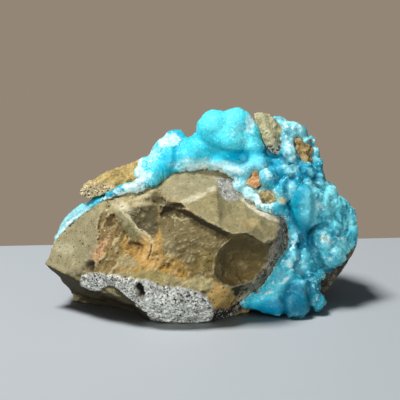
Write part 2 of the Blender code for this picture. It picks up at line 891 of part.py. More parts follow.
def skyline_height(right):
    """Height of the front view's outline there, up from the aim point."""
    for (start, low), (end, high) in zip(SKYLINE, SKYLINE[1:]):
        if start <= right <= end:
            return low + (high - low) * (right - start) / (end - start)
    return SKYLINE[0][1]


def kept_out_of_sight(centre, radius):
    """The centre moved down and to the left until the lobe stays inside the front view's outline."""
    centre = centre.copy()
    centre.x = min(centre.x, RIGHT_LIMIT - radius)
    up = (centre.z - AIM_HEIGHT) * math.cos(VIEW_TILT) + centre.y * math.sin(VIEW_TILT)
    room = min(skyline_height(centre.x + side * radius) for side in (-0.7, 0.0, 0.7))
    centre.z -= max(0.0, up + radius - room) / math.cos(VIEW_TILT)
    return centre


def hidden_lobes(rock):
    """Lobes over the top and the back of the block, as centres and radii."""
    chance = random.Random(7)
    mesh = mesh_of(rock)
    bmesh.ops.scale(mesh, vec=(1 / MM, 1 / MM, 1 / MM), verts=mesh.verts)
    mesh.normal_update()
    spots = []
    for face in mesh.faces:
        place = face.calc_center_median()
        if is_covered(place):
            spots.append((place.copy(), face.normal.copy()))
    mesh.free()
    chance.shuffle(spots)
    lobes = []
    for place, outward in spots:
        if all((place - other).length > HIDDEN_LOBE_SPACING for other, _ in lobes):
            radius = chance.uniform(*HIDDEN_LOBE_RADII)
            lobes.append((kept_out_of_sight(place + outward * 0.8, radius), radius))
    return lobes


def crust_mass(rock):
    """All the lobes and the block's core run together in one closed mesh."""
    lobes = [(seen(right, up, back), radius) for right, up, back, radius in SEEN_LOBES]
    lobes += [(Vector((x, y, z)), radius) for x, y, z, radius in CRUST_BODY + BACK_DOMES]
    lobes += hidden_lobes(rock)
    mesh = bmesh.new()
    for centre, radius in lobes:
        bmesh.ops.create_icosphere(
            mesh, subdivisions=3, radius=radius * MM, matrix=Matrix.Translation(centre * MM)
        )
    core = mesh_of(rock)
    core.normal_update()
    for vertex in core.verts:
        vertex.co -= vertex.normal * 2.0 * MM
    held = bpy.data.meshes.new("core")
    core.to_mesh(held)
    core.free()
    mesh.from_mesh(held)
    mass = new_object("hemimorphite_crust", mesh, scale=1.0)
    remesh = mass.modifiers.new("fuse", "REMESH")
    remesh.mode = "VOXEL"
    remesh.voxel_size = CRUST_VOXEL * MM
    bake_modifiers(mass)
    mesh = mesh_of(mass)
    keep_largest_body(mesh)
    bmesh.ops.scale(mesh, vec=(1 / MM, 1 / MM, 1 / MM), verts=mesh.verts)
    add_lumps(mesh, CRUST_LUMP_HEIGHT, 2.4, 5)
    bmesh.ops.scale(mesh, vec=(MM, MM, MM), verts=mesh.verts)
    mesh.to_mesh(mass.data)
    mesh.free()
    return mass


def build():
    """Makes every piece of the specimen."""
    for thing in list(bpy.data.objects):
        bpy.data.objects.remove(thing)
    rock = host_rock()
    rock_room = grown_copy(rock, GAP)
    clasts = [
        hull_piece("top_clast", TOP_CLAST, CLAST_TRIANGLES, 11),
        hull_piece("left_clast", LEFT_CLAST, 2 * CLAST_TRIANGLES, 12),
        hull_piece("right_clast", RIGHT_CLAST, CLAST_TRIANGLES, 13),
        hull_piece("orange_clast", ORANGE_CLAST, CLAST_TRIANGLES, 14),
        hull_piece("pit_clast", PIT_CLAST, CLAST_TRIANGLES, 15),
    ]
    for clast in clasts:
        cut_by(clast, rock_room)
        give_material(clast, clast.name.replace("_", " "), (0.33, 0.27, 0.14), 0.85)
    crust = crust_mass(rock)
    decimate(crust, CRUST_TRIANGLES)
    cut_by(crust, rock_room)
    for clast in clasts:
        room = grown_copy(clast, GAP)
        cut_by(crust, room)
        bpy.data.objects.remove(room)
    bpy.data.objects.remove(rock_room)
    give_material(crust, "hemimorphite", (0.05, 0.50, 0.65), 0.35)


build()
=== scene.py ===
"""Looks of a hemimorphite specimen: blue round-lobed crust over a broken block of olive brown rock.

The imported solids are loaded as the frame. Each visible piece is a finer copy of its solid, with the
fracture, the small lobes and the grain that the solids leave out, and a finish of its own. Crystals
too small for the solids cover the crust. Sizes in the classes and tables below are in millimetres.
"""

from __future__ import annotations

import json
import logging
import math
import random
from collections.abc import Callable
from dataclasses import dataclass
from enum import Enum
from functools import partial

import bmesh
import bpy
import numpy as np
from bpy.types import Material, Mesh, Node, NodeSocket, NodeTree, Object
from mathutils import Matrix, Vector, noise
from mathutils.bvhtree import BVHTree

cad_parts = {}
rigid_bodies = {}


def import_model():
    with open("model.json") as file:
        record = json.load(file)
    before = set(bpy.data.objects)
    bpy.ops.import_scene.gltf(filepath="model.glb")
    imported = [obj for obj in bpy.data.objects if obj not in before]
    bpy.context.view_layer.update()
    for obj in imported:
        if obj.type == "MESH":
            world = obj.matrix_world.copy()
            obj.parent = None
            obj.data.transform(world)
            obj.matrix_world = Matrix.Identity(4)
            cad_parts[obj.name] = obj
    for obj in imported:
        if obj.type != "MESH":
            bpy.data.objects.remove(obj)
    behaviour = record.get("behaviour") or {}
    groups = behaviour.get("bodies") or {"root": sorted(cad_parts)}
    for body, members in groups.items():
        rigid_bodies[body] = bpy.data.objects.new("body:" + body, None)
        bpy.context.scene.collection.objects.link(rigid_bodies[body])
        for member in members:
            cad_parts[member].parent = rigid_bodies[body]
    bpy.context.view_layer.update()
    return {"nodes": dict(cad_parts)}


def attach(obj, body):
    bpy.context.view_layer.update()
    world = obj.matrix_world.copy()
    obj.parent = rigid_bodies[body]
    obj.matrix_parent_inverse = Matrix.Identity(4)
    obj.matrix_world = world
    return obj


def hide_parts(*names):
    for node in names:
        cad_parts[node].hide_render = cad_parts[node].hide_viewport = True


Array = np.ndarray
Adder = Callable[..., NodeSocket]
MM = 0.001
LOG = logging.getLogger("specimen")

# How far a seed, a layer and a set of cells move the noise, so that no two patterns are alike.
SEED_STEP, LAYER_STEP, CELL_STEP = 13.7, 5.3, 9.1
# The share of a terrace that is level, before the steep step to the next one.
LEVEL_SHARE = 0.78
# The span that holds most values of a noise texture.
NOISE_SPAN = (0.3, 0.7)
# How strong the finer layers of the noise textures are.
ROUGH = {"Roughness": 0.65}


def linear(code: str) -> tuple[float, float, float]:
    """Turns an sRGB hex colour into linear light.

    Args:
        code: The colour as "#rrggbb".

    Returns:
        Red, green and blue from 0 to 1.
    """
    parts = [int(code[i : i + 2], 16) / 255 for i in (1, 3, 5)]
    return tuple(p / 12.92 if p <= 0.04045 else ((p + 0.055) / 1.055) ** 2.4 for p in parts)


def rgba(code: str) -> tuple[float, float, float, float]:
    """Turns an sRGB hex colour into linear light with full cover."""
    return (*linear(code), 1.0)


def per(size: float) -> float:
    """Texture scale at which one cell is that many millimetres wide."""
    return 1 / (size * MM)


def feed(node: Node, inputs: dict | tuple) -> None:
    """Links sockets to a node's inputs or sets plain values.

    Args:
        node: The node.
        inputs: Sockets and values by the input's name or number, or a tuple of them in order.
    """
    for name, source in inputs.items() if isinstance(inputs, dict) else enumerate(inputs):
        if isinstance(source, NodeSocket):
            node.id_data.links.new(source, node.inputs[name])
        else:
            node.inputs[name].default_value = source


def add_node(
    tree: NodeTree, kind: str, inputs: dict | tuple = (), output: str | int = 0, **settings
) -> NodeSocket:
    """Adds a shader node with its settings, its plain values and its incoming links.

    Args:
        tree: The node tree that gets the node.
        kind: The node's type name after "ShaderNode".
        inputs: What feeds its inputs, as feed takes it.
        output: Name or number of the output that is wanted.
        settings: Attributes of the node itself.

    Returns:
        The node's output.
    """
    node = tree.nodes.new("ShaderNode" + kind)
    for name, value in settings.items():
        setattr(node, name, value)
    feed(node, inputs)
    return node.outputs[output]


def new_material(name: str) -> tuple[Material, Node, Adder]:
    """Starts a material and gives it with its shader and an add_node for its tree."""
    material = bpy.data.materials.new(name)
    material.use_nodes = True
    tree = material.node_tree
    return material, tree.nodes["Principled BSDF"], partial(add_node, tree)


def smooth_step(value: Array, low: float, high: float) -> Array:
    """Rises smoothly from 0 at low to 1 at high."""
    t = np.clip((value - low) / (high - low), 0.0, 1.0)
    return t * t * (3.0 - 2.0 * t)


def soft_noise(places: Array, size: float, octaves: int, seed: float) -> Array:
    """Smooth noise of about -1 to 1 at each place.

    Args:
        places: Points in millimetres, one a row.
        size: Width of the largest lumps, in millimetres.
        octaves: How many layers are added, each half the size and half the height of the last.
        seed: Moves the pattern.

    Returns:
        One value for each point.
    """
    total = np.zeros(len(places))
    for layer in range(octaves):
        scaled = places * (2.0**layer / size) + seed * SEED_STEP + layer * LAYER_STEP
        total += np.array([noise.noise(point) for point in scaled.tolist()]) * 0.5**layer
    return total


class Lumps(Enum):
    """The noises of the surfaces: size in millimetres, layers and seed."""

    ROCK_CHIPS = (5.5, 2, 6.0)
    ROCK_SPLINTERS = (2.6, 2, 16.0)
    ROCK_GRIT = (1.2, 2, 8.0)
    ROCK_GROOVES = (1.0, 2, 23.0)
    ROCK_DRIFT = (12.0, 3, 11.0)
    ROCK_RUST = (8.0, 3, 17.0)
    ROCK_BLOTCHES = (2.6, 3, 41.0)
    ROCK_MOTTLE = (1.7, 3, 47.0)
    COAT_GRAIN = (1.3, 2, 3.0)
    COAT_PATCHES = (1.6, 2, 31.0)
    CREAM_PATCHES = (1.5, 2, 67.0)
    CRUST_LUMPS = (4.2, 1, 51.0)
    CRUST_KNOBS = (1.9, 1, 57.0)
    CRUST_GRAIN = (1.0, 2, 29.0)
    CRUST_DRIFT = (14.0, 3, 7.0)
    CRUST_CLOUDS = (4.5, 3, 71.0)
    CRUST_RIM = (2.0, 2, 9.0)
    CRUST_SPECKS = (1.3, 2, 61.0)
    FROST_CLUMPS = (3.4, 3, 19.0)
    FROST_GRAIN = (1.5, 2, 37.0)
    CLAST_RELIEF = (2.6, 3, 5.0)
    CLAST_GRIT = (0.9, 2, 6.0)
    CLAST_DRIFT = (2.4, 3, 3.0)
    CLAST_PATCHES = (2.0, 2, 13.0)

    def at(self, places: Array) -> Array:
        """The noise at each place."""
        return soft_noise(places, *self.value)


def cells_at(places: Array, size: float, seed: float) -> Array:
    """Round lobes, as wide as that size, that stand side by side.

    Args:
        places: Points in millimetres, one a row.
        size: Spacing of the lobes, in millimetres.
        seed: Moves the pattern.

    Returns:
        The height at each point, 0.5 on a lobe's top and about -0.5 between lobes.
    """
    scaled = places / size + seed * CELL_STEP
    return 0.5 - np.array([noise.voronoi(point)[0][0] for point in scaled.tolist()]) ** 2


def terraces(values: Array, step: float) -> Array:
    """Draws values together into flat levels with short steep steps between them."""
    level = np.floor(values / step)
    return step * (level + smooth_step(values / step - level, LEVEL_SHARE, 1.0))


def mixed(base: Array, colour: str, weight: Array) -> Array:
    """Mixes a colour into the colour of each point by its weight."""
    return base + (np.array(linear(colour)) - base) * np.clip(weight, 0.0, 1.0)[:, None]


def tinted(
    base: Array, colour: str, values: Array, low: float, high: float, share: float | Array
) -> Array:
    """Mixes a colour in where values rise from low to high, up to a share of 1."""
    return mixed(base, colour, smooth_step(values, low, high) * share)


@dataclass(frozen=True)
class FrontView:
    """The view that the specimen is shown in, and that the marks on it are placed by."""

    tilt_deg: float = 13.0
    distance: float = 500.0
    aim_height: float = 35.8
    frame_width: float = 400.0 / 3.0
    sensor: float = 36.0
    clip_start: float = 10.0

    def on_view(self, places: Array) -> Array:
        """Where points show, as millimetres to the right of and above the middle.

        Args:
            places: Points in millimetres, one a row.

        Returns:
            Right and up for each point.
        """
        tilt = math.radians(self.tilt_deg)
        ahead = np.array([0.0, math.cos(tilt), -math.sin(tilt)])
        upward = np.array([0.0, math.sin(tilt), math.cos(tilt)])
        offset = places - np.array([0.0, 0.0, self.aim_height])
        shrink = self.distance / (self.distance + offset @ ahead)
        return np.stack([offset[:, 0] * shrink, (offset @ upward) * shrink], axis=1)

    def wavering(self, places: Array, size: float, reach: float) -> Array:
        """The same, moved by a noise of that size and reach, so that marks get ragged edges."""
        wobble = [soft_noise(places, size, 3, seed) for seed in (1.0, 2.0)]
        return self.on_view(places) + reach * np.stack(wobble, axis=1)

    def add_camera(self) -> None:
        """Adds the camera and makes it the scene's own."""
        tilt = math.radians(self.tilt_deg)
        data = bpy.data.cameras.new("camera")
        data.sensor_width = self.sensor
        data.lens = self.sensor * self.distance / self.frame_width
        data.clip_start = self.clip_start * MM
        camera = bpy.data.objects.new("camera", data)
        bpy.context.scene.collection.objects.link(camera)
        camera.location = (
            0.0,
            -self.distance * MM * math.cos(tilt),
            (self.aim_height + self.distance * math.sin(tilt)) * MM,
        )
        camera.rotation_euler = (math.radians(90.0 - self.tilt_deg), 0.0, 0.0)
        bpy.context.scene.camera = camera


@dataclass(frozen=True)
class Patch:
    """A round or long patch with a soft edge, placed as the front view shows it."""

    right: float
    up: float
    half_width: float
    half_height: float
    turn_deg: float
    strength: float
    edge: float
    colour: str = ""

    def weight(self, front: Array) -> Array:
        """How much of the patch each point takes, from 0 to its strength."""
        turn = math.radians(self.turn_deg)
        x = front[:, 0] - self.right
        y = front[:, 1] - self.up
        along = (x * math.cos(turn) + y * math.sin(turn)) / self.half_width
        across = (y * math.cos(turn) - x * math.sin(turn)) / self.half_height
        reach = np.sqrt(along * along + across * across)
        return self.strength * (1.0 - smooth_step(reach, 1.0 - self.edge, 1.0 + self.edge))


@dataclass(frozen=True)
class Streak:
    """A thin line of another colour, placed as the front view shows it."""

    width: float
    colour: str
    strength: float
    depth: float
    line: tuple[tuple[float, float], ...]

    def weight(self, front: Array) -> Array:
        """How much of the streak's colour each point takes, from 0 to its strength."""
        gap = np.full(len(front), np.inf)
        for start, end in zip(np.array(self.line), np.array(self.line[1:])):
            run = end - start
            t = np.clip(((front - start) @ run) / (run @ run), 0.0, 1.0)
            gap = np.minimum(gap, np.linalg.norm(front - (start + t[:, None] * run), axis=1))
        return self.strength * (1.0 - smooth_step(gap, 0.3 * self.width, self.width))


def patches(*rows: tuple) -> tuple[Patch, ...]:
    """Turns rows into patches, each with its values in the order of the fields."""
    return tuple(Patch(*row) for row in rows)


def total_weight(marks: tuple, front: Array) -> Array:
    """The weights of several marks together."""
    return sum(mark.weight(front) for mark in marks)


def marked(tone: Array, marks: tuple, front: Array, facing: Array) -> Array:
    """Lays the colours of several marks on the side that faces the front view."""
    for mark in marks:
        tone = mixed(tone, mark.colour, mark.weight(front) * facing)
    return tone


@dataclass(frozen=True)
class Zone:
    """A face of the break or a coat on it, outlined as the front view shows it."""

    outline: tuple[tuple[float, float], ...]
    colour: str = ""
    strength: float = 0.0
    speckle: float = 0.0
    calm: float = 0.0

    def holds(self, front: Array) -> Array:
        """Tells for each point of the front view whether it is inside, as 1.0 or 0.0."""
        inside = np.zeros(len(front), dtype=bool)
        x, y = front[:, 0], front[:, 1]
        for (x0, y0), (x1, y1) in zip(self.outline, (*self.outline[1:], self.outline[0])):
            if y0 == y1:
                continue
            crosses = (y0 > y) != (y1 > y)
            inside ^= crosses & (x < (x1 - x0) * (y - y0) / (y1 - y0) + x0)
        return inside.astype(float)


# The faces of the broken rock: outline, colour, its strength, share of dark grains, smoothness.
LEFT_PLANE = Zone((
    (-54, -21), (-49, -13), (-43, -6.5), (-36, -1.5), (-32.8, 0.5), (-34.3, -8.1), (-34.3, -15),
    (-35.7, -20.6), (-39.5, -21.9), (-40.2, -25.4), (-50, -25),
), "#968d6b", 0.9, 0.03, 1)
LEFT_BROWN = Zone((
    (-32.8, -3), (-28.5, -3.5), (-27.5, -7.5), (-24, -11.5), (-25.5, -17.5), (-27, -24.5),
    (-38, -24.8), (-39.5, -21.9), (-35.7, -20.6), (-34.3, -15), (-34.3, -8.1),
), "#7f693a", 0.9, 0.05)
LEFT_TOP = Zone((
    (-36, -1.5), (-27, 3), (-16, 3), (-15.5, -0.6), (-19.5, -1.8), (-23.5, -2), (-27.3, -4.6),
    (-32.6, -4.6),
), "#a0946a", 0.85, 0.04)
NOTCH_FACE = Zone((
    (-27.6, -2), (-25.5, -3.8), (-21.2, -9), (-15.8, -14.4), (-17, -15.8), (-22, -14),
    (-26.4, -9.6),
), "#79734f", 0.95, 0, 0.8)
NOTCH_SHADE = Zone((
    (-25.5, -3.8), (-23.5, -2), (-19.5, -1.8), (-14.5, -1.6), (-13.6, -9.5), (-15.6, -13.6),
    (-21.2, -9),
), "#524a2f", 0.92, 0.05)
ORANGE_FACE = Zone((
    (-26.4, -9.6), (-22, -14), (-17, -15.8), (-13.8, -9.4), (-11.6, -13.5), (-9.4, -19),
    (-6.5, -23.6), (-3, -27.5), (-12, -24.2), (-20, -24), (-26.5, -23.8), (-25.5, -17),
), "#a47d36", 0.95)
MIDDLE_FACE = Zone((
    (-13.6, -1.6), (-5.6, -1.6), (-0.8, -5.8), (6.1, -9.2), (10.9, -12.2), (7.5, -15), (5, -19.9),
    (4.7, -24.7), (4.5, -27), (-3, -27.5), (-6.5, -23.6), (-9.4, -19), (-11.6, -13.5), (-13.8, -9),
), "#6b5d38", 0.92)
BRIGHT_FACE = Zone((
    (-9.5, -0.6), (-10.5, 5), (-4, 10.5), (6, 10.5), (11, 5), (18, -1.5), (26.5, -5), (26.4, -9.5),
    (24.6, -13.4), (21.3, -14.3), (15.8, -10.9), (10.9, -11.4), (6.1, -8.8), (-0.8, -5.4),
    (-5.2, -1.4),
), "#948961", 0.92, 0, 1)
BRIGHT_TOP = Zone((
    (-9.5, -0.4), (-13, 3), (-8, 9), (-4, 10.5), (6, 10.5), (8, 7), (3, 3.6), (-4, 1),
), "#9b9270", 0.9, 0, 0.8)
SCOOP_FACE = Zone((
    (9.7, -11.3), (13.7, -11.2), (16.7, -12.7), (20.7, -14), (24, -15.5), (23.5, -18),
    (21.8, -20.6), (20.4, -23), (17.8, -26.4), (13.3, -26.9), (11.7, -28.6), (8.7, -28.9),
    (5.6, -27.4), (3.9, -23.4), (5, -18.3), (7.3, -14.3),
), "#756338", 0.95, 0, 0.35)
RIGHT_GRAIN = Zone((
    (26.5, -4.6), (31.5, -7), (31.5, -19), (27, -22.5), (24.5, -30), (16, -33.5), (12, -33.5),
    (14, -29.2), (19, -26.2), (22.4, -21.5), (23.2, -16.6), (25.2, -13.4), (27, -9.5),
), "#b5a68c", 0.95, 0.12)
LEFT_LIP = Zone((
    (-25, -25.6), (-20, -23.2), (-15.5, -22.6), (-11.3, -24.6), (-10.5, -27.6), (-16, -27.4),
    (-23, -26.6),
), "#958753", 0.95, 0, 0.6)
MIDDLE_LIP = Zone((
    (-6, -28), (-4.4, -26.2), (-0.8, -25.2), (3, -26.2), (4.9, -29.2), (2.6, -31), (-2, -30),
), "#c8b985", 0.95, 0.05, 0.6)
LOW_ORANGE = Zone((
    (3, -26.2), (5.2, -27.4), (10, -29.4), (12.8, -33), (10, -36.5), (4.6, -37), (2, -31.4),
    (4.9, -29.2),
), "#dbb268", 0.95, 0.06)
LOW_GREY = Zone((
    (4.6, -36.4), (10, -36.2), (13, -33.2), (20, -31.5), (11, -39), (5, -43), (3, -42),
), "#77736a", 0.9, 0.25)
FACES = (
    LEFT_PLANE, LEFT_BROWN, LEFT_TOP, NOTCH_SHADE, NOTCH_FACE, MIDDLE_FACE, ORANGE_FACE,
    BRIGHT_FACE, BRIGHT_TOP, SCOOP_FACE, RIGHT_GRAIN, LEFT_LIP, MIDDLE_LIP, LOW_ORANGE, LOW_GREY,
)
GREY_COAT = Zone((
    (-39.7, -25), (-33.7, -24.3), (-30, -25), (-21.7, -26.3), (-16.7, -26.6), (-14.3, -28.3),
    (-6.3, -29.2), (-2.7, -29.6), (2, -32), (4.3, -35), (4.4, -39), (2, -45), (-14, -45),
    (-17.2, -38), (-21.9, -34), (-25.3, -31.4), (-27.7, -29), (-30, -28.3), (-31.7, -29),
    (-33.7, -30), (-36.7, -30), (-39.7, -28.3),
))
GREY_SPOT = Zone((
    (5, 7.6), (9, 7.4), (13, 4.6), (14, 0.6), (9.5, -0.6), (6.8, 2.2),
), "#b9b4ad", 0.8)
CREAM_EDGE = Zone((
    (12, 5.2), (19, -1), (24.5, -4.2), (30, -6.4), (29.4, -9), (25, -7.2), (18.5, -4.2), (13, 0.4),
), "#e2dac4", 0.9)
# Stains of the rock and pale painted highlights: right, up, half width, half height, turn, strength,
# soft edge, colour.
ROCK_PATCHES = patches(
    (-33.2, -16, 1.6, 5.5, -30, 0.75, 0.45, "#c9966b"),
    (-31, -10, 2.2, 3.5, -35, 0.7, 0.45, "#8a744a"),
    (-24, -20.6, 3.4, 2.6, 0, 0.8, 0.3, "#9a8f68"),
    (-17.5, -17, 3.6, 5.5, 25, 0.8, 0.45, "#c79c58"),
    (-10.6, -16, 1.9, 4.5, 12, 0.8, 0.45, "#857c57"),
    (-7, -23, 5, 3, -25, 0.85, 0.5, "#a5813c"),
    (-5.5, -2.9, 4.8, 1, -38, 0.5, 0.7, "#b58b56"),
    (18.3, -7.9, 2.4, 1.3, -30, 0.8, 0.3, "#bba873"),
    (15.5, -8.2, 1.3, 0.9, 0, 0.55, 0.45, "#a5793f"),
    # Painted highlights: the pale cream patches near the top edge and left of the notch.
    (-26, -2, 3, 1.6, -20, 0.75, 0.7, "#d8ceae"),
    (-19.6, 0, 3.4, 1.7, 0, 0.7, 0.7, "#cfc299"),
    (-2.6, 0.6, 4.5, 0.9, 22, 0.85, 0.6, "#d9d2b4"),
    (4, 3.8, 1.6, 0.8, 20, 0.8, 0.6, "#d9d2b4"),
    (-25.4, -6.5, 1.3, 2.2, 20, 0.6, 0.45, "#b9ae86"),
    (14, -13.4, 3.6, 1, -22, 0.6, 0.45, "#6f6538"),
    (-44.8, -16, 3.4, 2.2, 0, 0.5, 0.45, "#c4bd9d"),
    (14.5, -14.6, 8.5, 2, -16, 0.6, 0.45, "#5b4d2b"),
    (6.6, -20.5, 2, 5.5, 0, 0.7, 0.45, "#6a5b38"),
    (1.6, -21, 4, 4.4, -20, 0.75, 0.6, "#8f7a44"),
    (12.4, -26, 5, 1.6, 0, 0.6, 0.5, "#8b7440"),
    (27.8, -9.4, 1.8, 3.4, 0, 0.7, 0.6, "#8f8881"),
    (26.4, -16, 1.6, 2.6, 20, 0.7, 0.6, "#8a8180"),
    (21.5, -26.4, 2, 3, 30, 0.8, 0.5, "#5c5631"),
    (15.8, -30.4, 2.4, 1.6, -30, 0.6, 0.5, "#7a6a3c"),
)
# Pits of the rock, in the same order.
PITS = patches(
    (-37.3, -22.3, 1.9, 1.9, 0, 0.8, 0.5, "#4b4231"),
    (-12.3, -0.4, 3.4, 1.3, -8, 0.6, 0.5, "#6a6140"),
    (-20.3, -29.4, 1.3, 1.5, 0, 1, 0.2, "#100f0c"),
    (-19.8, -31.7, 1.1, 1.4, 0, 1, 0.2, "#100f0c"),
)
# Cracks and ridges of the rock: width, colour, its strength, depth, points of the line. The first,
# pale line along the notch's crest is a painted highlight.
STREAKS = (
    Streak(0.5, "#c3bb97", 0.85, -0.35, (
        (-26.6, -3), (-25.2, -4.4), (-20.6, -9.2), (-15.4, -14.3),
    )),
    Streak(0.4, "#32281a", 0.9, 0.5, ((-15.8, -14.8), (-16.3, -17), (-17.7, -19.6))),
    Streak(0.32, "#c5bd98", 0.6, 0, ((-10.4, -5), (-6.6, -6.6), (-2.6, -5.9))),
    Streak(0.3, "#c5bd98", 0.5, 0, ((-7.6, -2.6), (-6.2, -5.6))),
    Streak(0.3, "#c5bd98", 0.5, 0, ((0.2, -6.4), (1.6, -9))),
    Streak(0.3, "#c5bd98", 0.5, 0, ((4.6, -8.6), (6.6, -10.6))),
    Streak(0.45, "#c9c0a0", 0.7, 0, ((21.4, -14), (25, -12.2))),
    Streak(0.4, "#4e452a", 0.5, 0.3, ((-6.4, -14.4), (-1.6, -14))),
    Streak(0.4, "#5a4d30", 0.6, 0.4, ((-34, -20.6), (-30, -18.4), (-26.8, -19.4))),
    Streak(0.5, "#4a4229", 0.6, 0.5, ((-15, -1), (-9.6, -1.8), (-5.4, -2.6))),
)
# Tones of the crust, in the order of the stains above.
CRUST_PATCHES = patches(
    (9, 24, 12.5, 9.5, 0, 0.95, 0.3, "#5be3f0"),
    (1, 17, 9, 6, 0, 0.9, 0.3, "#38cde2"),
    (-13, 12, 8, 9, 0, 0.8, 0.45, "#4fcbdc"),
    (-10.5, 11.5, 3.4, 6.4, -18, 0.95, 0.3, "#16bcd8"),
    (-15.5, 7, 4.6, 2.8, 15, 0.9, 0.3, "#55cfe0"),
    (14, 14.2, 9, 2, -4, 1, 0.4, "#10dcfa"),
    (24, 13, 6, 2.6, -30, 0.8, 0.45, "#12a4c2"),
    (3, 10.8, 11, 2.6, -4, 0.95, 0.45, "#b6eef2"),
    (17.5, 9.5, 5, 5, 0, 0.8, 0.45, "#7fd3e0"),
    (18.5, 1.8, 6, 3.4, -35, 0.9, 0.45, "#bdf2f2"),
    (31, 10.5, 7.5, 5.5, -22, 0.95, 0.45, "#1398b6"),
    (30, 15.5, 2.6, 8, 6, 0.8, 0.3, "#74b4ba"),
    (30, 23.5, 6.5, 4, -30, 0.9, 0.45, "#78b9be"),
    (34.2, -2, 4.4, 8.4, 4, 1, 0.25, "#009bb6"),
    (44.5, -2, 7, 8, -35, 0.9, 0.45, "#74e0ec"),
    (38, 0.5, 3.4, 8, -15, 0.7, 0.45, "#7ad6e0"),
    (43, -15, 7.2, 7.6, 0, 0.92, 0.3, "#66d8e6"),
    (35.5, -13.5, 2.6, 5.6, 10, 0.92, 0.3, "#0888a6"),
    (34, -21, 4.6, 5.4, 0, 0.88, 0.3, "#50c0d4"),
    (28.5, -24, 2.6, 4.4, -35, 0.85, 0.45, "#5cc6d8"),
    (24.5, -31.4, 8, 3, 22, 1, 0.45, "#3fd6ee"),
    (25, -35.9, 9, 2.6, 8, 0.97, 0.45, "#009ac2"),
    (31.6, -33, 5.4, 6.6, 0, 1, 0.3, "#007694"),
    (36.6, -31, 3, 7, 0, 0.95, 0.45, "#007189"),
    (40.5, -27.5, 2.6, 6, -20, 0.8, 0.45, "#3f98a6"),
    (-43.5, -8.5, 9, 4, 48, 0.9, 0.45, "#9ccfd2"),
    (-42, -8.5, 5, 1, 46, 0.8, 0.45, "#c9c4a2"),
)
# White frost on the crust. These and the swells and smooth forms below have no colour.
FROSTS = patches(
    (-10.5, 20.2, 5, 2.8, -8, 0.75, 0.5),
    (-16, 14.5, 2, 5, -35, 0.62, 0.5),
    (-19.5, 8, 3.6, 3.4, -20, 0.7, 0.6),
    (-22.5, 3.6, 7, 1.8, 12, 0.95, 0.4),
    (-20.5, 11, 1.6, 3.6, -20, 0.8, 0.5),
    (-10.5, 17, 4.5, 2.6, 30, 0.45, 0.6),
    (17, 26, 2.2, 4.6, -15, 0.75, 0.6),
    (13, 23, 6, 5, -20, 0.42, 0.6),
    (16, 19.2, 6, 1.4, -10, 0.45, 0.6),
    (4, 10.6, 12, 2.4, -5, 0.95, 0.7),
    (18.5, 0.5, 8, 3, -38, 0.72, 0.5),
    (11.5, 6.5, 3, 1.6, -38, 0.8, 0.5),
    (29.3, 17, 2.6, 6.5, 8, 0.34, 0.5),
    (30, 24.5, 5.5, 1.8, -25, 0.38, 0.5),
    (22.5, 9, 1.2, 4.5, 20, 0.5, 0.5),
    (40.3, -2.3, 1.8, 1.6, 0, 0.56, 0.5),
    (33.5, -19, 2, 1.6, 0, 0.5, 0.5),
    (30.8, -14.5, 1.4, 3.2, 0, 0.42, 0.6),
    (29, -21, 2.2, 1.8, 0, 0.48, 0.6),
    (23, -29.8, 7.5, 1.7, 32, 0.5, 0.6),
    (43, -13, 4.5, 5, 0, 0.3, 0.5),
)
# Rock dust and iron stains on the crust.
STAINS = patches(
    (-22.6, 7.4, 1.3, 0.7, 30, 0.8, 0.5, "#b98f66"),
    (-21.4, 5, 1, 0.5, 30, 0.8, 0.5, "#a07c50"),
    (-20.6, 10.6, 1.2, 0.6, 40, 0.7, 0.5, "#9b9384"),
    (27.4, -0.4, 1.4, 1.1, -20, 0.9, 0.4, "#e8dcae"),
    (24.3, 2.4, 1.5, 0.8, -20, 0.7, 0.5, "#ddd3b0"),
    (41.4, -12.6, 1.4, 0.9, 0, 0.7, 0.6, "#b9ae8a"),
    (-21.2, 6, 2.2, 3.8, -20, 0.6, 0.5, "#ddd1b6"),
    (37, 19.8, 1.2, 0.8, -30, 0.9, 0.4, "#7a6d4c"),
)
# Valleys between the lobes, in the order of the streaks above. Their colours, mostly a darker teal,
# are painted shade.
CLEFTS = (
    Streak(0.94, "#0590b2", 0.37, 0.42, ((7.3, 17), (12, 16.2), (16.7, 15.9), (21, 15))),
    Streak(1.08, "#0d9fbd", 0.43, 0.77, ((-8, 17.3), (-8.7, 11.7), (-10.7, 7.3))),
    Streak(1.08, "#0a8fae", 0.37, 0.68, ((-20, 5.3), (-15, 4.2), (-10.7, 6.3), (-8, 9.3))),
    Streak(1.08, "#16b2cc", 0.37, 0.51, ((-2, 20.7), (1.3, 19.3), (7.3, 17))),
    Streak(1.08, "#6fd6e2", 0.25, 0.26, (
        (-8, 10), (-4.7, 12.3), (0, 13.3), (5, 12.4), (9.3, 11.5), (13.5, 12),
    )),
    Streak(1.22, "#066f8e", 0.5, 1.02, ((22, 15), (27, 14.3), (32.3, 10), (37, 7.3), (41.5, 6.8))),
    Streak(1.35, "#066c8b", 0.53, 1.27, (
        (31, 7.6), (28.6, 5), (29, 0), (30.7, -5), (32.3, -9.3), (34, -12.7),
    )),
    Streak(1.22, "#0c7f9b", 0.31, 0.68, ((37.4, 5), (37.6, 0), (37.2, -6.3), (35.6, -10))),
    Streak(1.62, "#045f7c", 0.59, 1.87, (
        (42, -8.2), (38.6, -9), (36.9, -11), (36.7, -14.5), (39, -17.6), (41, -22.3), (43.9, -24),
    )),
    Streak(1.35, "#055f7a", 0.5, 1.19, (
        (32.7, -15.2), (32.6, -19.5), (32.9, -23.7), (36, -26.7), (36.2, -31.3), (37, -36),
    )),
    Streak(1.08, "#045a76", 0.53, 0.85, ((27.2, -32.4), (28.2, -35), (28.4, -38.5))),
    Streak(1.08, "#3d6f7c", 0.37, 0.68, ((24, -23), (27, -19), (29.6, -16))),
)
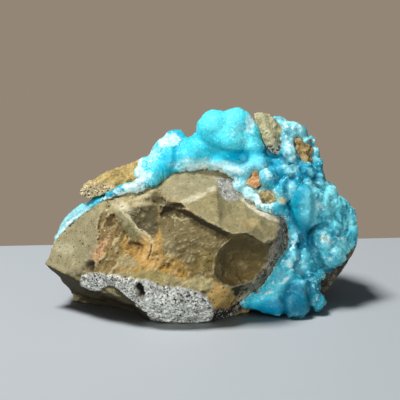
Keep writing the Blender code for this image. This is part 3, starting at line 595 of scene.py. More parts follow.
# Round forms that are raised, by their strength in millimetres.
SWELLS = patches(
    (14, 13.6, 9, 1.5, -4, -0.3, 0.8),
    (13, 18.4, 8.5, 2.2, -8, 1, 0.8),
    (31.9, -35, 4, 3.4, 0, 1.9, 0.5),
    (-13.5, 8.6, 5.2, 4.2, 38, 1, 0.5),
    (33.8, -1.8, 3.9, 8, 4, 1.3, 0.4),
    (43, -15, 6.6, 7.4, 0, 1, 0.3),
    (34.6, -20.5, 2.6, 3.6, 0, 0.9, 0.4),
    (22, 9.6, 2.6, 4.4, 10, 0.8, 0.4),
)
# Lobes that are smooth and have few crystals.
BARE = patches(
    (34.2, -3, 4, 8, 4, 0.6, 0.3),
    (31.5, -33.5, 6, 6, 0, 0.45, 0.3),
    (25, -35.8, 9, 2.6, 8, 0.6, 0.3),
    (-11, 10.5, 3.4, 6, -18, 0.6, 0.4),
    (15, 14.8, 7.2, 2.8, -4, 0.8, 0.3),
    (5, 25, 5, 5, 0, 0.25, 0.5),
    (36, -13.5, 2, 5, 0, 0.4, 0.5),
)


def store(data: Mesh, name: str, values: Array) -> None:
    """Stores a colour or a number for each point of a mesh as an attribute."""
    if values.ndim == 1:
        attribute = data.attributes.new(name, "FLOAT", "POINT")
        attribute.data.foreach_set("value", values.astype(np.float32))
        return
    attribute = data.attributes.new(name, "FLOAT_COLOR", "POINT")
    full = np.concatenate([values, np.ones((len(values), 1))], axis=1)
    attribute.data.foreach_set("color", full.astype(np.float32).ravel())


def select_only(thing: Object | None) -> None:
    """Leaves one object selected and active, or none selected."""
    for other in bpy.context.view_layer.objects:
        other.select_set(False)
    if thing:
        thing.select_set(True)
        bpy.context.view_layer.objects.active = thing


class Shell:
    """A fine copy of one solid, with arrays of its points that the finishes are worked out on."""

    def __init__(self, node: str, name: str, voxel: float) -> None:
        """Copies the solid, merges its loose triangles and gives it an even fine mesh.

        Args:
            node: The solid's name in the frame.
            name: The new piece's name.
            voxel: Size of the mesh's faces, in millimetres.
        """
        self.node = node
        self.tone = np.empty(0)
        mesh = bmesh.new()
        mesh.from_mesh(FRAME["nodes"][node].data)
        bmesh.ops.remove_doubles(mesh, verts=mesh.verts, dist=1e-6)
        self.data = bpy.data.meshes.new(name)
        mesh.to_mesh(self.data)
        mesh.free()
        self.piece = bpy.data.objects.new(name, self.data)
        bpy.context.scene.collection.objects.link(self.piece)
        select_only(self.piece)
        remesh = self.piece.modifiers.new("even_mesh", "REMESH")
        remesh.mode = "VOXEL"
        remesh.voxel_size = voxel * MM
        bpy.ops.object.modifier_apply(modifier=remesh.name)
        self.data = self.piece.data
        self.places = self.read("vertices", "co", 3, float) / MM
        self.normals = self.read("vertices", "normal", 3, float)
        self.edges = self.read("edges", "vertices", 2, np.int64)
        self.links = np.bincount(self.edges.ravel(), minlength=len(self.places)).astype(float)

    def read(self, kind: str, name: str, width: int, number: type) -> Array:
        """Reads a property of the mesh's points or edges into rows of that width."""
        items = getattr(self.data, kind)
        flat = np.empty(len(items) * width, dtype=number)
        items.foreach_get(name, flat)
        return flat.reshape(-1, width)

    def write(self) -> None:
        """Puts the points back in the mesh and reads its new normals."""
        self.data.vertices.foreach_set("co", (self.places * MM).ravel())
        self.data.update()
        self.normals = self.read("vertices", "normal", 3, float)

    def averaged(self, values: Array, rounds: int) -> Array:
        """Spreads a value of each point over its neighbours.

        Args:
            values: One value or one row for each point.
            rounds: How many times the values are spread.

        Returns:
            The spread values, in the same form.
        """
        rows = values.reshape(len(values), -1).astype(float)
        a, b = self.edges[:, 0], self.edges[:, 1]
        for _ in range(rounds):
            spread = np.empty_like(rows)
            for k in range(rows.shape[1]):
                total = np.bincount(a, rows[b, k], len(rows))
                total = total + np.bincount(b, rows[a, k], len(rows))
                spread[:, k] = 0.5 * rows[:, k] + 0.5 * total / self.links
            rows = spread
        return rows.reshape(values.shape)

    def push(self, heights: Array) -> None:
        """Moves each point along its normal by that many millimetres."""
        self.places = self.places + self.normals * heights[:, None]
        self.write()

    def bulge(self, rounds: int) -> Array:
        """How far each point stands out of the surface around it, in millimetres."""
        return np.einsum("ij,ij->i", self.places - self.averaged(self.places, rounds), self.normals)

    def facing(self, low: float, high: float) -> Array:
        """How much each point faces the front, from 0 at low to 1 at high."""
        return smooth_step(-self.normals[:, 1], low, high)

    def distance_to(self, solid: BVHTree) -> Array:
        """Distance of each point from a solid, in millimetres."""
        return np.array([solid.find_nearest(p)[3] for p in (self.places * MM).tolist()]) / MM

    def even_tone(self, colour: str) -> Array:
        """One colour for all points, to start from."""
        return np.tile(np.array(linear(colour)), (len(self.places), 1))

    def finish(self, material: Material, slot: str) -> None:
        """Dresses the piece, puts it in the solid's place and reports it."""
        for face in self.data.polygons:
            face.use_smooth = True
        self.data.materials.clear()
        self.data.materials.append(material)
        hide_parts(self.node)
        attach(self.piece, "root")
        LOG.info("%s: %d faces in place of %s", self.piece.name, len(self.data.polygons), self.node)


def bent(add: Adder, place: NodeSocket, size: float, reach: float) -> NodeSocket:
    """Moves places by a noise of that size, up to that many millimetres, for ragged grains."""
    links = {"Vector": place, "Scale": per(size), "Detail": 2.0}
    colour = add("TexNoise", links, "Color")
    middle = add("VectorMath", (colour, (0.5, 0.5, 0.5)), operation="SUBTRACT")
    shift = add("VectorMath", {0: middle, "Scale": reach * MM}, operation="SCALE")
    return add("VectorMath", (place, shift), operation="ADD")


@dataclass(frozen=True)
class RockFinish:
    """Fine-grained siltstone, broken by hand: matt, gritty, with dark and pale mineral grains."""

    name: str = "broken siltstone"
    roughness: float = 0.85
    specular: float = 0.3
    grain: float = 0.5
    mottle: float = 3.0
    coat_grain: float = 0.52
    coat_clumps: float = 2.2
    black: str = "#26231d"
    white: str = "#e2e0d6"
    # The grey coat is a sugary mix of white and grey grains with a few black ones.
    coat: tuple[tuple[float, str], ...] = (
        (0.0, "#3b3a34"), (0.08, "#7b7b73"), (0.2, "#acada4"), (0.5, "#c6c7bf"), (0.75, "#e6e7e0"),
    )

    def material(self) -> Material:
        """Builds the material, which reads the stored tone, coat and speckle."""
        material, shader, add = new_material(self.name)
        place = add("TexCoord", output="Object")
        tone = add("Attribute", output="Color", attribute_name="tone")
        coat = add("Attribute", output="Fac", attribute_name="coat")
        speckle = add("Attribute", output="Fac", attribute_name="speckle")
        fine, broad, clumps = (
            add("TexNoise", {"Vector": place, "Scale": per(size), "Detail": detail, **ROUGH})
            for size, detail in ((self.grain, 4.0), (self.mottle, 6.0), (self.coat_clumps, 4.0))
        )
        # Grain of the fresh break: lighter and darker grains that are just big enough to show.
        light = add("MapRange", (fine, *NOISE_SPAN, 0.70, 1.28))
        wide = add("MapRange", (broad, *NOISE_SPAN, 0.84, 1.14))
        both = add("Math", (light, wide), operation="MULTIPLY")
        grainy = add("VectorMath", {0: tone, "Scale": both}, operation="SCALE")
        # Loose mineral grains, black and white, as many as the stored speckle says.
        spacing = {"Vector": bent(add, place, 0.9, 0.8), "Scale": per(self.coat_grain)}
        cells = add("TexVoronoi", {**spacing, "Randomness": 1.0}, "Color")
        value = add("SeparateColor", (cells,), "Red")
        few = add("Math", (speckle, 0.42), operation="MULTIPLY")
        rest = add("Math", (1.03, few), operation="SUBTRACT")
        dark = add("Math", (value, few), operation="LESS_THAN")
        pale = add("Math", (value, rest), operation="GREATER_THAN")
        spotted = grainy
        for share, cover, colour in ((dark, 0.85, self.black), (pale, 0.75, self.white)):
            share = add("Math", (share, cover), operation="MULTIPLY")
            layers = {0: share, 6: spotted, 7: rgba(colour)}
            spotted = add("Mix", layers, 2, data_type="RGBA")
        ramp = add("ValToRGB", (value,))
        stops = ramp.node.color_ramp.elements
        ramp.node.color_ramp.interpolation = "CONSTANT"
        for position, code in self.coat[1:-1]:
            stops.new(position).color = rgba(code)
        for end in (0, -1):
            stops[end].position, code = self.coat[end]
            stops[end].color = rgba(code)
        light = add("MapRange", (clumps, 0.36, 0.62, 0.66, 1.24))
        # Painted light: the coat is made up to 1.6 times lighter near the table, where it turns down.
        height = add("SeparateXYZ", (place,), "Z")
        painted_low_light = add("MapRange", (height, 2.0 * MM, 13.0 * MM, 1.6, 1.0))
        light = add("Math", (light, painted_low_light), operation="MULTIPLY")
        sugary = add("VectorMath", {0: ramp, "Scale": light}, operation="SCALE")
        small = add("Bump", {"Height": fine, "Strength": 0.9, "Distance": 0.35 * MM})
        broad_bump = {"Height": broad, "Strength": 0.7, "Distance": 0.9 * MM, "Normal": small}
        feed(shader, {
            "Base Color": add("Mix", {0: coat, 6: spotted, 7: sugary}, 2, data_type="RGBA"),
            "Roughness": self.roughness,
            "Specular IOR Level": self.specular,
            "Normal": add("Bump", broad_bump),
        })
        return material


@dataclass(frozen=True)
class HemimorphiteFinish:
    """Hemimorphite coloured by copper: a satin skin of tiny crystals over a cloudy body."""

    name: str = "drusy hemimorphite"
    ior: float = 1.62
    roughness: float = 0.42
    specular: float = 0.16
    cloudiness: float = 0.45
    cloud_depth: float = 2.2
    crystal: float = 0.62
    grain: float = 0.7
    frost_grain: float = 1.4
    frost: str = "#e4f8f8"
    pale: str = "#86d9e6"
    cream: str = "#e6dcc4"

    def material(self) -> Material:
        """Builds the material, which reads the stored tone and frost."""
        material, shader, add = new_material(self.name)
        place = add("TexCoord", output="Object")
        tone = add("Attribute", output="Color", attribute_name="tone")
        frost = add("Attribute", output="Fac", attribute_name="frost")
        fine, tint = (
            add("TexNoise", {"Vector": place, "Scale": per(size), "Detail": detail, **ROUGH})
            for size, detail in ((self.grain, 4.0), (self.frost_grain, 3.0))
        )
        spacing = {"Vector": bent(add, place, 0.8, 0.6), "Scale": per(self.crystal)}
        cells = add("TexVoronoi", {**spacing, "Randomness": 1.0}, "Color")
        reach = cells.node.outputs["Distance"]
        value = add("SeparateColor", (cells,), "Green")
        light = add("MapRange", (value, 0.0, 1.0, 0.86, 1.14))
        body = add("VectorMath", {0: tone, "Scale": light}, operation="SCALE")
        # Closed white frost where the stored value is high, with a ragged edge.
        ragged = add("MapRange", (fine, 0.25, 0.75, -0.3, 0.3))
        thick = add("Math", (frost, ragged), operation="ADD")
        closed = add("MapRange", (thick, 0.48, 0.76, 0.0, 0.9))
        # Single white crystal tips, partly painted glints, more of them where the stored value is
        # higher.
        often = add("Math", (frost, 0.7), operation="MULTIPLY")
        chosen = add("Math", (value, often), operation="ADD")
        chosen = add("MapRange", (chosen, 0.985, 1.0, 0.0, 1.0))
        tip = add("MapRange", (reach, 0.28, 0.5, 0.55, 0.0))
        tips_and_glints = add("Math", (chosen, tip), operation="MULTIPLY")
        white = add("Math", (closed, tips_and_glints), operation="MAXIMUM")
        # The frost itself is white, cream and pale blue grains.
        bluish = add("MapRange", (tint, 0.46, 0.62, 0.0, 0.85))
        creamy = add("MapRange", (tint, 0.42, 0.34, 0.0, 0.08))
        grains = rgba(self.frost)
        for share, colour in ((bluish, self.pale), (creamy, self.cream)):
            layers = {0: share, 6: grains, 7: rgba(colour)}
            grains = add("Mix", layers, 2, data_type="RGBA")
        tip_bump = {"Height": reach, "Strength": 0.5, "Distance": 0.22 * MM}
        skin_bump = {"Height": fine, "Strength": 0.5, "Distance": 0.25 * MM}
        feed(shader, {
            "Base Color": add("Mix", {0: white, 6: body, 7: grains}, 2, data_type="RGBA"),
            "Roughness": self.roughness,
            "IOR": self.ior,
            "Specular IOR Level": self.specular,
            "Subsurface Weight": self.cloudiness,
            "Subsurface Radius": (0.25, 0.9, 1.0),
            "Subsurface Scale": self.cloud_depth * MM,
            "Coat Weight": 0.06,
            "Coat Roughness": 0.15,
            "Normal": add("Bump", {**skin_bump, "Normal": add("Bump", tip_bump, invert=True)}),
        })
        return material


@dataclass(frozen=True)
class CrystalFinish:
    """Clear to pale blue crystal, glassy on its flat growth faces."""

    name: str = "glassy hemimorphite blades"
    ior: float = 1.62
    roughness: float = 0.25
    specular: float = 0.25
    cloudiness: float = 0.3
    cloud_depth: float = 0.6

    def material(self) -> Material:
        """Builds the material, which reads the stored tone."""
        material, shader, add = new_material(self.name)
        feed(shader, {
            "Base Color": add("Attribute", output="Color", attribute_name="tone"),
            "Roughness": self.roughness,
            "IOR": self.ior,
            "Specular IOR Level": self.specular,
            "Subsurface Weight": self.cloudiness,
            "Subsurface Radius": (0.35, 0.9, 1.0),
            "Subsurface Scale": self.cloud_depth * MM,
        })
        return material


class HostRock:
    """The broken block of rock, with its faces, stains, pits and granular coats."""

    voxel = 0.5
    base_colour = "#958a64"
    chip_height, splinter_height, grit_height, groove_height = 0.95, 0.38, 0.09, 0.30
    chip_step, splinter_step = 0.34, 0.45
    pit_depth = 2.2
    foot_height = 0.6

    def __init__(self, view: FrontView) -> None:
        """Makes the fine mesh and works out which face each point belongs to."""
        self.shell = Shell("host_rock", "broken_rock", self.voxel)
        self.facing = self.shell.facing(-0.15, 0.2)
        self.front = view.wavering(self.shell.places, 2.2, 0.55)
        self.cover = {
            zone: self.shell.averaged(zone.holds(self.front) * self.facing, 1)
            for zone in (*FACES, GREY_COAT, GREY_SPOT, CREAM_EDGE)
        }

    def build(self, crust: BVHTree) -> Shell:
        """Shapes the rock and stores its colours.

        Args:
            crust: The crust's surface, which the rock's speckled edge follows.

        Returns:
            The finished surface.
        """
        self.shape()
        self.paint()
        self.speckle(crust)
        return self.shell

    def shape(self) -> None:
        """Adds small breaks, ledges, grit and pits to the broken faces."""
        shell, cover = self.shell, self.cover
        calm = sum(zone.calm * cover[zone] for zone in FACES)
        rough = 1.0 - 0.75 * np.clip(calm, 0.0, 1.0)
        chips = terraces(Lumps.ROCK_CHIPS.at(shell.places), self.chip_step)
        flat = shell.places * np.array([1.0, 1.0, 1.7])
        splinters = terraces(Lumps.ROCK_SPLINTERS.at(flat), self.splinter_step)
        heights = rough * (self.chip_height * chips + self.splinter_height * splinters)
        heights += self.grit_height * Lumps.ROCK_GRIT.at(shell.places)
        heights += self.groove_height * self.grooves(0.7)
        coat = cover[GREY_COAT]
        grains = 0.45 * Lumps.COAT_GRAIN.at(shell.places) + 0.4
        heights = heights * (1.0 - coat) + coat * grains
        heights *= 1.0 - 0.7 * smooth_step(-shell.normals[:, 2], 0.0, 0.5) * (1.0 - coat)
        heights -= self.pit_depth * total_weight(PITS, self.front) * self.facing
        for streak in STREAKS:
            heights -= streak.depth * streak.weight(self.front) * self.facing
        heights[shell.places[:, 2] < self.foot_height] = 0.0
        shell.push(heights)

    def grooves(self, orange_share: float) -> Array:
        """Fine slanting grooves of the brown face and, by a share, of the orange one, -1 to 1."""
        slant = math.radians(58.0)
        along = self.front[:, 0] * math.cos(slant) + self.front[:, 1] * math.sin(slant)
        across = self.front[:, 1] * math.cos(slant) - self.front[:, 0] * math.sin(slant)
        lines = np.stack([across / 0.9, along / 6.0, np.zeros(len(along))], axis=1)
        share = np.maximum(self.cover[LEFT_BROWN], orange_share * self.cover[ORANGE_FACE])
        return Lumps.ROCK_GROOVES.at(lines) * share

    def paint(self) -> None:
        """Works out the rock's colour at each point."""
        shell, cover, places = self.shell, self.cover, self.shell.places
        tone = shell.even_tone(self.base_colour)
        drift = Lumps.ROCK_DRIFT.at(places)
        tone = tinted(tone, "#a99d74", drift, 0.0, 0.6, 0.6)
        tone = tinted(tone, "#766b49", -drift, 0.0, 0.6, 0.6)
        tone = tinted(tone, "#a8834d", Lumps.ROCK_RUST.at(places), 0.2, 0.6, 0.4)
        for zone in FACES:
            tone = mixed(tone, zone.colour, zone.strength * cover[zone])
        cream = 0.6 + 0.4 * smooth_step(Lumps.CREAM_PATCHES.at(places), -0.3, 0.2)
        tone = mixed(tone, CREAM_EDGE.colour, cover[CREAM_EDGE] * cream * CREAM_EDGE.strength)
        tone = mixed(tone, GREY_SPOT.colour, cover[GREY_SPOT] * GREY_SPOT.strength)
        tone = marked(tone, ROCK_PATCHES, self.front, self.facing)
        lines = self.grooves(0.6)
        blotch = Lumps.ROCK_BLOTCHES.at(places)
        for colour, values, low, high, share in (
            ("#cdb988", lines, 0.1, 0.6, 0.6), ("#6b5734", -lines, 0.1, 0.6, 0.6),
            ("#c9bd92", blotch, 0.25, 0.8, 0.30), ("#5c5233", -blotch, 0.25, 0.8, 0.35),
        ):
            tone = tinted(tone, colour, values, low, high, share)
        # The dark granular rock at the far right, paler towards its top.
        end = smooth_step(places[:, 0], 34.0, 40.0) * smooth_step(22.0 - places[:, 2], -6.0, 4.0)
        tone = mixed(tone, "#625a50", end * 0.85)
        tone = tinted(tone, "#b0a47f", places[:, 2], 12.0, 17.0, end * 0.85)
        right = 0.8 * smooth_step(places[:, 0], 34.0, 38.0)
        grainy = np.clip(cover[RIGHT_GRAIN] + cover[LOW_GREY] + right, 0.0, 1.0)
        mottle = Lumps.ROCK_MOTTLE.at(places)
        tone = tinted(tone, "#9d958f", mottle, 0.12, 0.4, grainy * 0.75)
        tone = tinted(tone, "#2b2319", -mottle, 0.08, 0.4, grainy * 0.8)
        # Edges that stand out get a painted highlight and hollows get a painted shade.
        bulge = shell.bulge(4)
        tone = tinted(tone, "#d3caa6", bulge, 0.05, 0.22, 0.5)
        tone = tinted(tone, "#453d27", -bulge, 0.05, 0.22, 0.6)
        tone = marked(tone, PITS + STREAKS, self.front, self.facing)
        # Painted shade: faces that turn down are darkened, less on the far right and on the coat, the
        # lower orange, the right grain and the scoop.
        painted_under_shade = smooth_step(-shell.normals[:, 2], 0.05, 0.4) * (1.0 - 0.7 * end)
        shares = {GREY_COAT: 1.0, LOW_ORANGE: 0.9, RIGHT_GRAIN: 0.9, SCOOP_FACE: 0.75}
        for zone, share in shares.items():
            painted_under_shade = painted_under_shade * (1.0 - share * cover[zone])
        store(shell.data, "tone", mixed(tone, "#332e1f", painted_under_shade * 0.92))

    def speckle(self, crust: BVHTree) -> None:
        """Works out where the rock is coated with pale grains and where it is speckled."""
        shell, cover, facing = self.shell, self.cover, self.facing
        patchy = Lumps.COAT_PATCHES.at(shell.places)
        spots = 0.75 * cover[GREY_SPOT] * smooth_step(patchy + 0.25, -0.15, 0.3)
        coat = np.maximum(cover[GREY_COAT], spots)
        dark = np.clip(total_weight(PITS, self.front) * facing, 0.0, 1.0)
        store(shell.data, "coat", np.clip(coat, 0.0, 1.0) * (1.0 - dark))
        edge = 1.0 - smooth_step(shell.distance_to(crust) + 0.6 * patchy, 0.7, 1.9)
        speckle = 0.008 + 0.06 * (1.0 - facing) + 0.10 * edge
        speckle = speckle + sum(zone.speckle * cover[zone] for zone in FACES)
        speckle = speckle * (0.7 + 0.8 * smooth_step(patchy, -0.3, 0.5))
        speckle = speckle + 0.12 * smooth_step(shell.places[:, 0], 36.0, 42.0)
        store(shell.data, "speckle", np.clip(speckle, 0.0, 1.0) * (1.0 - dark))


class Crust:
    """The crust of round lobes, with small lobes on the large ones and a white rim on the rock."""

    voxel = 0.48
    base_colour = "#35b6cc"
    rounding = 16
    lobe_size, knob_size = 4.4, 1.8
    lobe_height, knob_height, lump_height = 1.2, 0.35, 1.7
    # A surface that touches the rock stands this far out, which closes the gap between them.
    contact_height = 0.3
    skin = 0.25
    # The weight of a smooth form at which the lobes count as bare.
    most_bare = 0.6

    def __init__(self, view: FrontView) -> None:
        """Makes the fine mesh.

        Args:
            view: The front view, which the marks are placed by.
        """
        self.view = view
        self.shell = Shell("hemimorphite_crust", "lobed_crust", self.voxel)

    def build(self, rock: BVHTree) -> Shell:
        """Shapes the crust and stores its colours.

        Args:
            rock: The host rock's surface, which the white rim follows.

        Returns:
            The finished surface.
        """
        shell = self.shell
        front = self.view.on_view(shell.places)
        facing = shell.facing(-0.2, 0.25)
        smooth = self.smoothness()
        busy = (0.35 + 0.65 * smooth_step(front[:, 0], 20.0, 30.0)) * (1.0 - 0.9 * smooth)
        rounder = shell.averaged(shell.places, self.rounding)
        shell.places = shell.places + (rounder - shell.places) * (1.0 - 0.3 * busy)[:, None]
        shell.write()
        gap = shell.distance_to(rock)
        touching = 1.0 - smooth_step(gap, 0.7, 1.4)
        lobes = cells_at(shell.places, self.lobe_size, 2.0)
        knobs = cells_at(shell.places, self.knob_size, 5.0)
        heights = busy * (self.lobe_height * lobes + self.knob_height * knobs)
        heights = heights + 0.15 * knobs * (1.0 - 0.8 * smooth)
        heights = heights * (1.0 - touching) + self.contact_height * touching
        for cleft in CLEFTS:
            heights -= cleft.depth * cleft.weight(front) * facing
        heights += total_weight(SWELLS, front) * facing
        lumps = np.abs(Lumps.CRUST_LUMPS.at(shell.places))
        lumps = lumps + 0.5 * np.abs(Lumps.CRUST_KNOBS.at(shell.places))
        right = smooth_step(front[:, 0], 24.0, 34.0)
        heights += self.lump_height * (lumps - 0.3) * right * (1.0 - touching) * (1.0 - smooth)
        rim = 1.0 - smooth_step(gap, 1.8, 3.6)
        thin = smooth_step(-front[:, 0], 24.0, 30.0) * smooth_step(gap, 0.5, 1.6)
        grain = (0.10 + 0.45 * rim) * Lumps.CRUST_GRAIN.at(shell.places)
        shell.push(heights + grain - 0.9 * thin + self.skin)
        self.paint(gap)
        return shell

    def smoothness(self) -> Array:
        """How much each point belongs to a smooth, bare form, from 0 to 1."""
        front = self.view.on_view(self.shell.places)
        bare = np.clip(total_weight(BARE, front), 0.0, self.most_bare)
        return bare * self.shell.facing(-0.2, 0.25) / self.most_bare

    def paint(self, gap: Array) -> None:
        """Works out the crust's colour and frost at each point.

        Args:
            gap: Distance of each point from the rock, in millimetres.
        """
        shell, places = self.shell, self.shell.places
        plain = self.view.on_view(places)
        front = self.view.wavering(places, 2.6, 0.8)
        facing = shell.facing(-0.35, 0.1)
        drift = Lumps.CRUST_DRIFT.at(places)
        tone = shell.even_tone(self.base_colour)
        tone = tinted(tone, "#5ccfdf", drift, 0.0, 0.6, 0.8)
        tone = tinted(tone, "#148aa8", -drift, 0.0, 0.6, 0.7)
        tone = marked(tone, CRUST_PATCHES, front, facing)
        broad = shell.bulge(40)
        near = shell.bulge(5)
        cloud = Lumps.CRUST_CLOUDS.at(places)
        rough = smooth_step(front[:, 0], 20.0, 30.0) * (1.0 - self.smoothness()) * 0.6
        # Painted shade and light: broad and small hollows get a deeper teal and broad domes a paler
        # cyan; the clouds on the right are tone that varies at random.
        for colour, values, low, high, share in (
            ("#0890b4", -broad, 0.1, 0.9, 0.65),
            ("#8fe6ef", broad, 0.3, 1.4, 0.25),
            ("#0a8cab", -near, 0.03, 0.16, 0.45 * smooth_step(front[:, 0], 18.0, 28.0)),
            ("#0a8aa8", -cloud, 0.05, 0.5, rough),
            ("#9cecf4", cloud, 0.05, 0.5, rough),
        ):
            tone = tinted(tone, colour, values, low, high, share)
        # Painted shade: the valleys between the lobes are coloured, mostly a darker teal.
        tone = marked(tone, CLEFTS, plain, facing)
        rim = 1.0 - smooth_step(gap + Lumps.CRUST_RIM.at(places), 0.4, 2.0)
        frost = 0.90 * rim * (0.70 + 0.30 * smooth_step(-front[:, 0], -16.0, 24.0))
        for patch in FROSTS:
            frost = np.maximum(frost, patch.weight(front) * facing)
        # Frost gathers on the right, on what stands out and in clumps, and stays out of hollows.
        right = smooth_step(front[:, 0], 16.0, 30.0)
        clumps = smooth_step(Lumps.FROST_CLUMPS.at(places), 0.0, 0.7)
        frost = frost + (0.12 + 0.2 * np.maximum(right, 1.0 - facing)) * clumps
        frost = frost + (0.10 + 0.22 * right) * smooth_step(near, 0.0, 0.16)
        frost = frost + 0.55 * right * Lumps.FROST_GRAIN.at(places)
        frost = frost - 0.5 * smooth_step(-near, 0.02, 0.12) - 0.25 * smooth_step(-broad, 0.2, 0.8)
        frost = frost - (total_weight(CLEFTS, plain) + total_weight(BARE, front)) * facing
        dirt = smooth_step(Lumps.CRUST_SPECKS.at(places), 0.34, 0.6) * rim
        store(shell.data, "frost", np.clip(frost - 0.9 * dirt, 0.0, 1.0))
        tone = mixed(tone, "#a08f6c", dirt * 0.6)
        shell.tone = marked(tone, STAINS, front, facing)
        store(shell.data, "tone", shell.tone)


class ClastLook(Enum):
    """The colours of the loose pieces of rock: the main one, then a darker and a paler one."""

    OLIVE = ("#aeab85", "#8b8765", "#d3cdae")
    OCHRE = ("#b39a5c", "#84703f", "#d2c594")
    BROWN = ("#b39863", "#6a5a38", "#c2b084")
    ORANGE = ("#c28d5c", "#a5623a", "#dcc39a")
    DARK = ("#a99560", "#54472a", "#efe6c6")


@dataclass
class Clast:
    """A loose piece of rock set in the crust, speckled towards its lower front."""

    node: str
    look: ClastLook
    speckle: float
    low_speckle: float
    low_share: float = 0.45
    low_colour: str = "#b3ae9f"
    voxel: float = 0.3
    relief: float = 0.7
    relief_step: float = 0.3
    grit: float = 0.12
    skin: float = 0.1

    def build(self) -> Shell:
        """Makes the fine surface of the piece and stores its colours."""
        shell = Shell(self.node, self.node + "_stone", self.voxel)
        rough = terraces(Lumps.CLAST_RELIEF.at(shell.places), self.relief_step)
        grit = Lumps.CLAST_GRIT.at(shell.places)
        shell.push(self.relief * rough + self.grit * grit + self.skin)
        main, dark, pale = self.look.value
        drift = Lumps.CLAST_DRIFT.at(shell.places)
        bulge = shell.bulge(5)
        tone = shell.even_tone(main)
        # Random drift of darker and paler stone, then a painted highlight on bumps and painted shade
        # in hollows.
        for colour, values, low, high, share in (
            (dark, drift, 0.0, 0.5, 0.85), (pale, -drift, 0.25, 0.7, 0.8),
            (pale, bulge, 0.03, 0.14, 0.5), (dark, -bulge, 0.03, 0.14, 0.6),
        ):
            tone = tinted(tone, colour, values, low, high, share)
        low, high = shell.places[:, 2].min(), shell.places[:, 2].max()
        height = (shell.places[:, 2] - low) / (high - low)
        patchy = Lumps.CLAST_PATCHES.at(shell.places)
        bottom = smooth_step(self.low_share - height + 0.22 * patchy, -0.08, 0.12)
        store(shell.data, "tone", mixed(tone, self.low_colour, bottom * self.low_speckle * 0.7))
        store(shell.data, "coat", np.zeros(len(height)))
        store(shell.data, "speckle", np.clip(self.speckle + self.low_speckle * bottom, 0.0, 1.0))
        return shell


@dataclass
class Druse:
    """The crystals that stand on the lobes: short blades with flat faces that catch the light."""

    count: int = 3000
    width: tuple[float, float] = (0.25, 0.7)
    height: tuple[float, float] = (0.2, 0.45)
    lean: float = 0.6
    clear_of_rock: float = 1.6
    bare_share: float = 0.85
    tip_colour: tuple[float, float, float] = (0.85, 0.97, 0.98)
    seed: int = 4

    def crystal(self) -> tuple[Array, list[tuple[int, ...]]]:
        """Shapes one crystal, 1 wide and 1 high, with a chisel tip.

        Returns:
            Its points, and its faces as point numbers.
        """
        select_only(None)
        bpy.ops.mesh.primitive_cone_add(
            vertices=6, radius1=0.5, radius2=0.34, depth=1.0, location=(0, 0, 0.3)
        )
        blade = bpy.context.object
        bpy.ops.object.mode_set(mode="EDIT")
        bpy.ops.mesh.select_all(action="SELECT")
        bpy.ops.transform.resize(value=(1.0, 0.55, 1.0))
        for height, slope in ((0.62, (0.55, 0.0, 0.83)), (0.68, (-0.6, 0.1, 0.79))):
            bpy.ops.mesh.select_all(action="SELECT")
            bpy.ops.mesh.bisect(
                plane_co=(0.0, 0.0, height), plane_no=slope, clear_outer=True, use_fill=True
            )
        bpy.ops.object.mode_set(mode="OBJECT")
        data = blade.data
        points = np.array([tuple(blade.matrix_world @ vertex.co) for vertex in data.vertices])
        faces = [tuple(face.vertices) for face in data.polygons]
        bpy.data.objects.remove(blade)
        bpy.data.meshes.remove(data)
        return points, faces

    def build(
        self, crust: Shell, gap: Array, bare: Array, material: Material
    ) -> Object:
        """Stands the crystals on the crust, away from where it meets the rock.

        Args:
            crust: The crust's fine surface.
            gap: Distance of each of its points from the rock, in millimetres.
            bare: How much each point belongs to a smooth form, where fewer crystals stand.
            material: The crystals' finish.

        Returns:
            One piece that holds all the crystals.
        """
        chance = random.Random(self.seed)
        points, faces = self.crystal()
        free = np.flatnonzero(gap > self.clear_of_rock)
        smooth = self.bare_share * (1.0 - smooth_step(crust.places[:, 0], 22.0, 32.0))
        smooth = np.maximum(smooth * (1.0 - smooth_step(crust.places[:, 1], 8.0, 16.0)), 0.9 * bare)
        places, rows, shades = [], [], []
        for number in range(self.count):
            spot = int(free[chance.randrange(len(free))])
            while smooth[spot] > chance.random():
                spot = int(free[chance.randrange(len(free))])
            lean = Vector([chance.uniform(-self.lean, self.lean) for _ in range(3)])
            axis = (Vector(crust.normals[spot]) + lean).normalized()
            turn = axis.to_track_quat("Z", "Y").to_matrix() @ Matrix.Rotation(
                chance.uniform(0.0, math.tau), 3, "Z"
            )
            wide = chance.uniform(*self.width)
            tall = chance.uniform(*self.height)
            shaped = points * np.array([wide, wide, tall])
            places.append(shaped @ np.array(turn).T + crust.places[spot])
            start = number * len(points)
            rows.extend(tuple(start + corner for corner in face) for face in faces)
            pale = 0.5 * chance.random() ** 3
            shade = crust.tone[spot] + (np.array(self.tip_colour) - crust.tone[spot]) * pale
            shades.append(np.tile(shade, (len(points), 1)))
        data = bpy.data.meshes.new("crystal_druse")
        data.from_pydata((np.concatenate(places) * MM).tolist(), [], rows)
        data.update()
        store(data, "tone", np.concatenate(shades))
        data.materials.append(material)
        piece = bpy.data.objects.new("crystal_druse", data)
        bpy.context.scene.collection.objects.link(piece)
        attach(piece, "root")
        LOG.info("%s: %d crystals", piece.name, self.count)
        return piece


@dataclass(frozen=True)
class Lamp:
    """A soft square light: its place and size in metres and its power in watts."""

    name: str
    place: tuple[float, float, float]
    power: float
    size: float

    def add(self, aim: Vector) -> Object:
        """Adds the light, pointed at a place."""
        data = bpy.data.lights.new(self.name, "AREA")
        data.energy = self.power
        data.size = self.size
        light = bpy.data.objects.new(self.name, data)
        bpy.context.scene.collection.objects.link(light)
        light.location = self.place
        light.rotation_euler = (aim - Vector(self.place)).to_track_quat("-Z", "Y").to_euler()
        return light


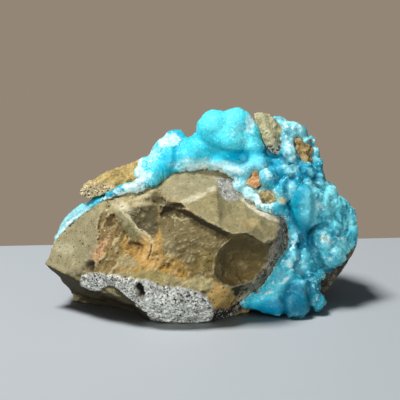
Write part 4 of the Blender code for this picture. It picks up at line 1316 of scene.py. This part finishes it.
@dataclass
class Studio:
    """A plain pale table in front of a plain wall colour, with soft light from the upper left."""

    table_colour: str = "#bfc5c9"
    table_roughness: float = 0.6
    table_thickness: float = 20.0
    table_back: float = 82.0
    table_turn: float = 4.7
    table_reach: float = 2500.0
    wall_colour: str = "#948677"
    soft_colour: tuple[float, ...] = (0.93, 0.97, 1.0, 1.0)
    soft_strength: float = 0.06
    aim_height: float = 30.0
    overhead: Lamp = Lamp("overhead", (-0.26, -0.05, 0.82), 7.8, 0.24)
    front: Lamp = Lamp("front", (-0.22, -0.86, 0.44), 5.5, 0.4)

    def build(self, pieces: list[Object]) -> None:
        """Adds the table top, the wall colour and the lights.

        Args:
            pieces: The specimen's pieces, which the front light is kept to.
        """
        self.add_table()
        self.add_world()
        aim = Vector((0.0, 0.0, self.aim_height * MM))
        self.overhead.add(aim)
        specimen = bpy.data.collections.new("specimen")
        for piece in pieces:
            specimen.objects.link(piece)
        self.front.add(aim).light_linking.receiver_collection = specimen

    def add_table(self) -> None:
        """Adds the table top, whose far edge slants a little across the view."""
        select_only(None)
        depth = self.table_reach + self.table_back
        turn = math.radians(self.table_turn)
        bpy.ops.mesh.primitive_cube_add(size=1.0, location=(0, 0, 0))
        table = bpy.context.object
        table.name = "table_top"
        table.scale = (2 * self.table_reach * MM, depth * MM, self.table_thickness * MM)
        table.rotation_euler = (0.0, 0.0, turn)
        table.location = (
            math.sin(turn) * depth / 2 * MM,
            (self.table_back - math.cos(turn) * depth / 2) * MM,
            -self.table_thickness / 2 * MM,
        )
        bpy.ops.object.transform_apply(location=True, rotation=True, scale=True)
        material, shader, _ = new_material("matt painted board")
        feed(shader, {"Base Color": rgba(self.table_colour), "Roughness": self.table_roughness})
        table.data.materials.append(material)

    def add_world(self) -> None:
        """Adds an even soft light from all round, with the wall's colour behind the table."""
        world = bpy.data.worlds.new("studio")
        bpy.context.scene.world = world
        world.use_nodes = True
        tree = world.node_tree
        tree.nodes.clear()
        add = partial(add_node, tree)
        seen = add("LightPath", output="Is Camera Ray")
        soft = add("Background", (self.soft_colour, self.soft_strength))
        wall = add("Background", (rgba(self.wall_colour), 1.0))
        mix = add("MixShader", (seen, soft, wall))
        feed(tree.nodes.new("ShaderNodeOutputWorld"), (mix,))


def surface_tree(node: str) -> BVHTree:
    """A search tree over one solid's surface."""
    mesh = bmesh.new()
    mesh.from_mesh(FRAME["nodes"][node].data)
    tree = BVHTree.FromBMesh(mesh)
    mesh.free()
    return tree


def main() -> None:
    """Builds every piece of the specimen, then the studio."""
    view = FrontView()
    rock_surface = surface_tree("host_rock")
    stone = RockFinish().material()
    shells = [HostRock(view).build(surface_tree("hemimorphite_crust"))]
    shells[0].finish(stone, "host_rock")
    lobes = Crust(view)
    crust = lobes.build(rock_surface)
    crust.finish(HemimorphiteFinish().material(), "hemimorphite")
    shells.append(crust)
    for clast in (
        Clast("top_clast", ClastLook.OLIVE, 0.0, 0.7, 0.35),
        Clast("left_clast", ClastLook.OCHRE, 0.01, 0.4, 0.42),
        Clast("right_clast", ClastLook.BROWN, 0.03, 0.1),
        Clast("orange_clast", ClastLook.ORANGE, 0.03, 0.0),
        Clast("pit_clast", ClastLook.DARK, 0.0, 0.0),
    ):
        shells.append(clast.build())
        shells[-1].finish(stone, "host_rock")
    gap = crust.distance_to(rock_surface)
    druse = Druse().build(crust, gap, lobes.smoothness(), CrystalFinish().material())
    Studio().build([shell.piece for shell in shells] + [druse])
    view.add_camera()
    bpy.context.scene.view_settings.view_transform = "Standard"


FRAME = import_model()

if __name__ == "__main__":
    logging.basicConfig(level=logging.INFO, format="%(message)s")
    main()
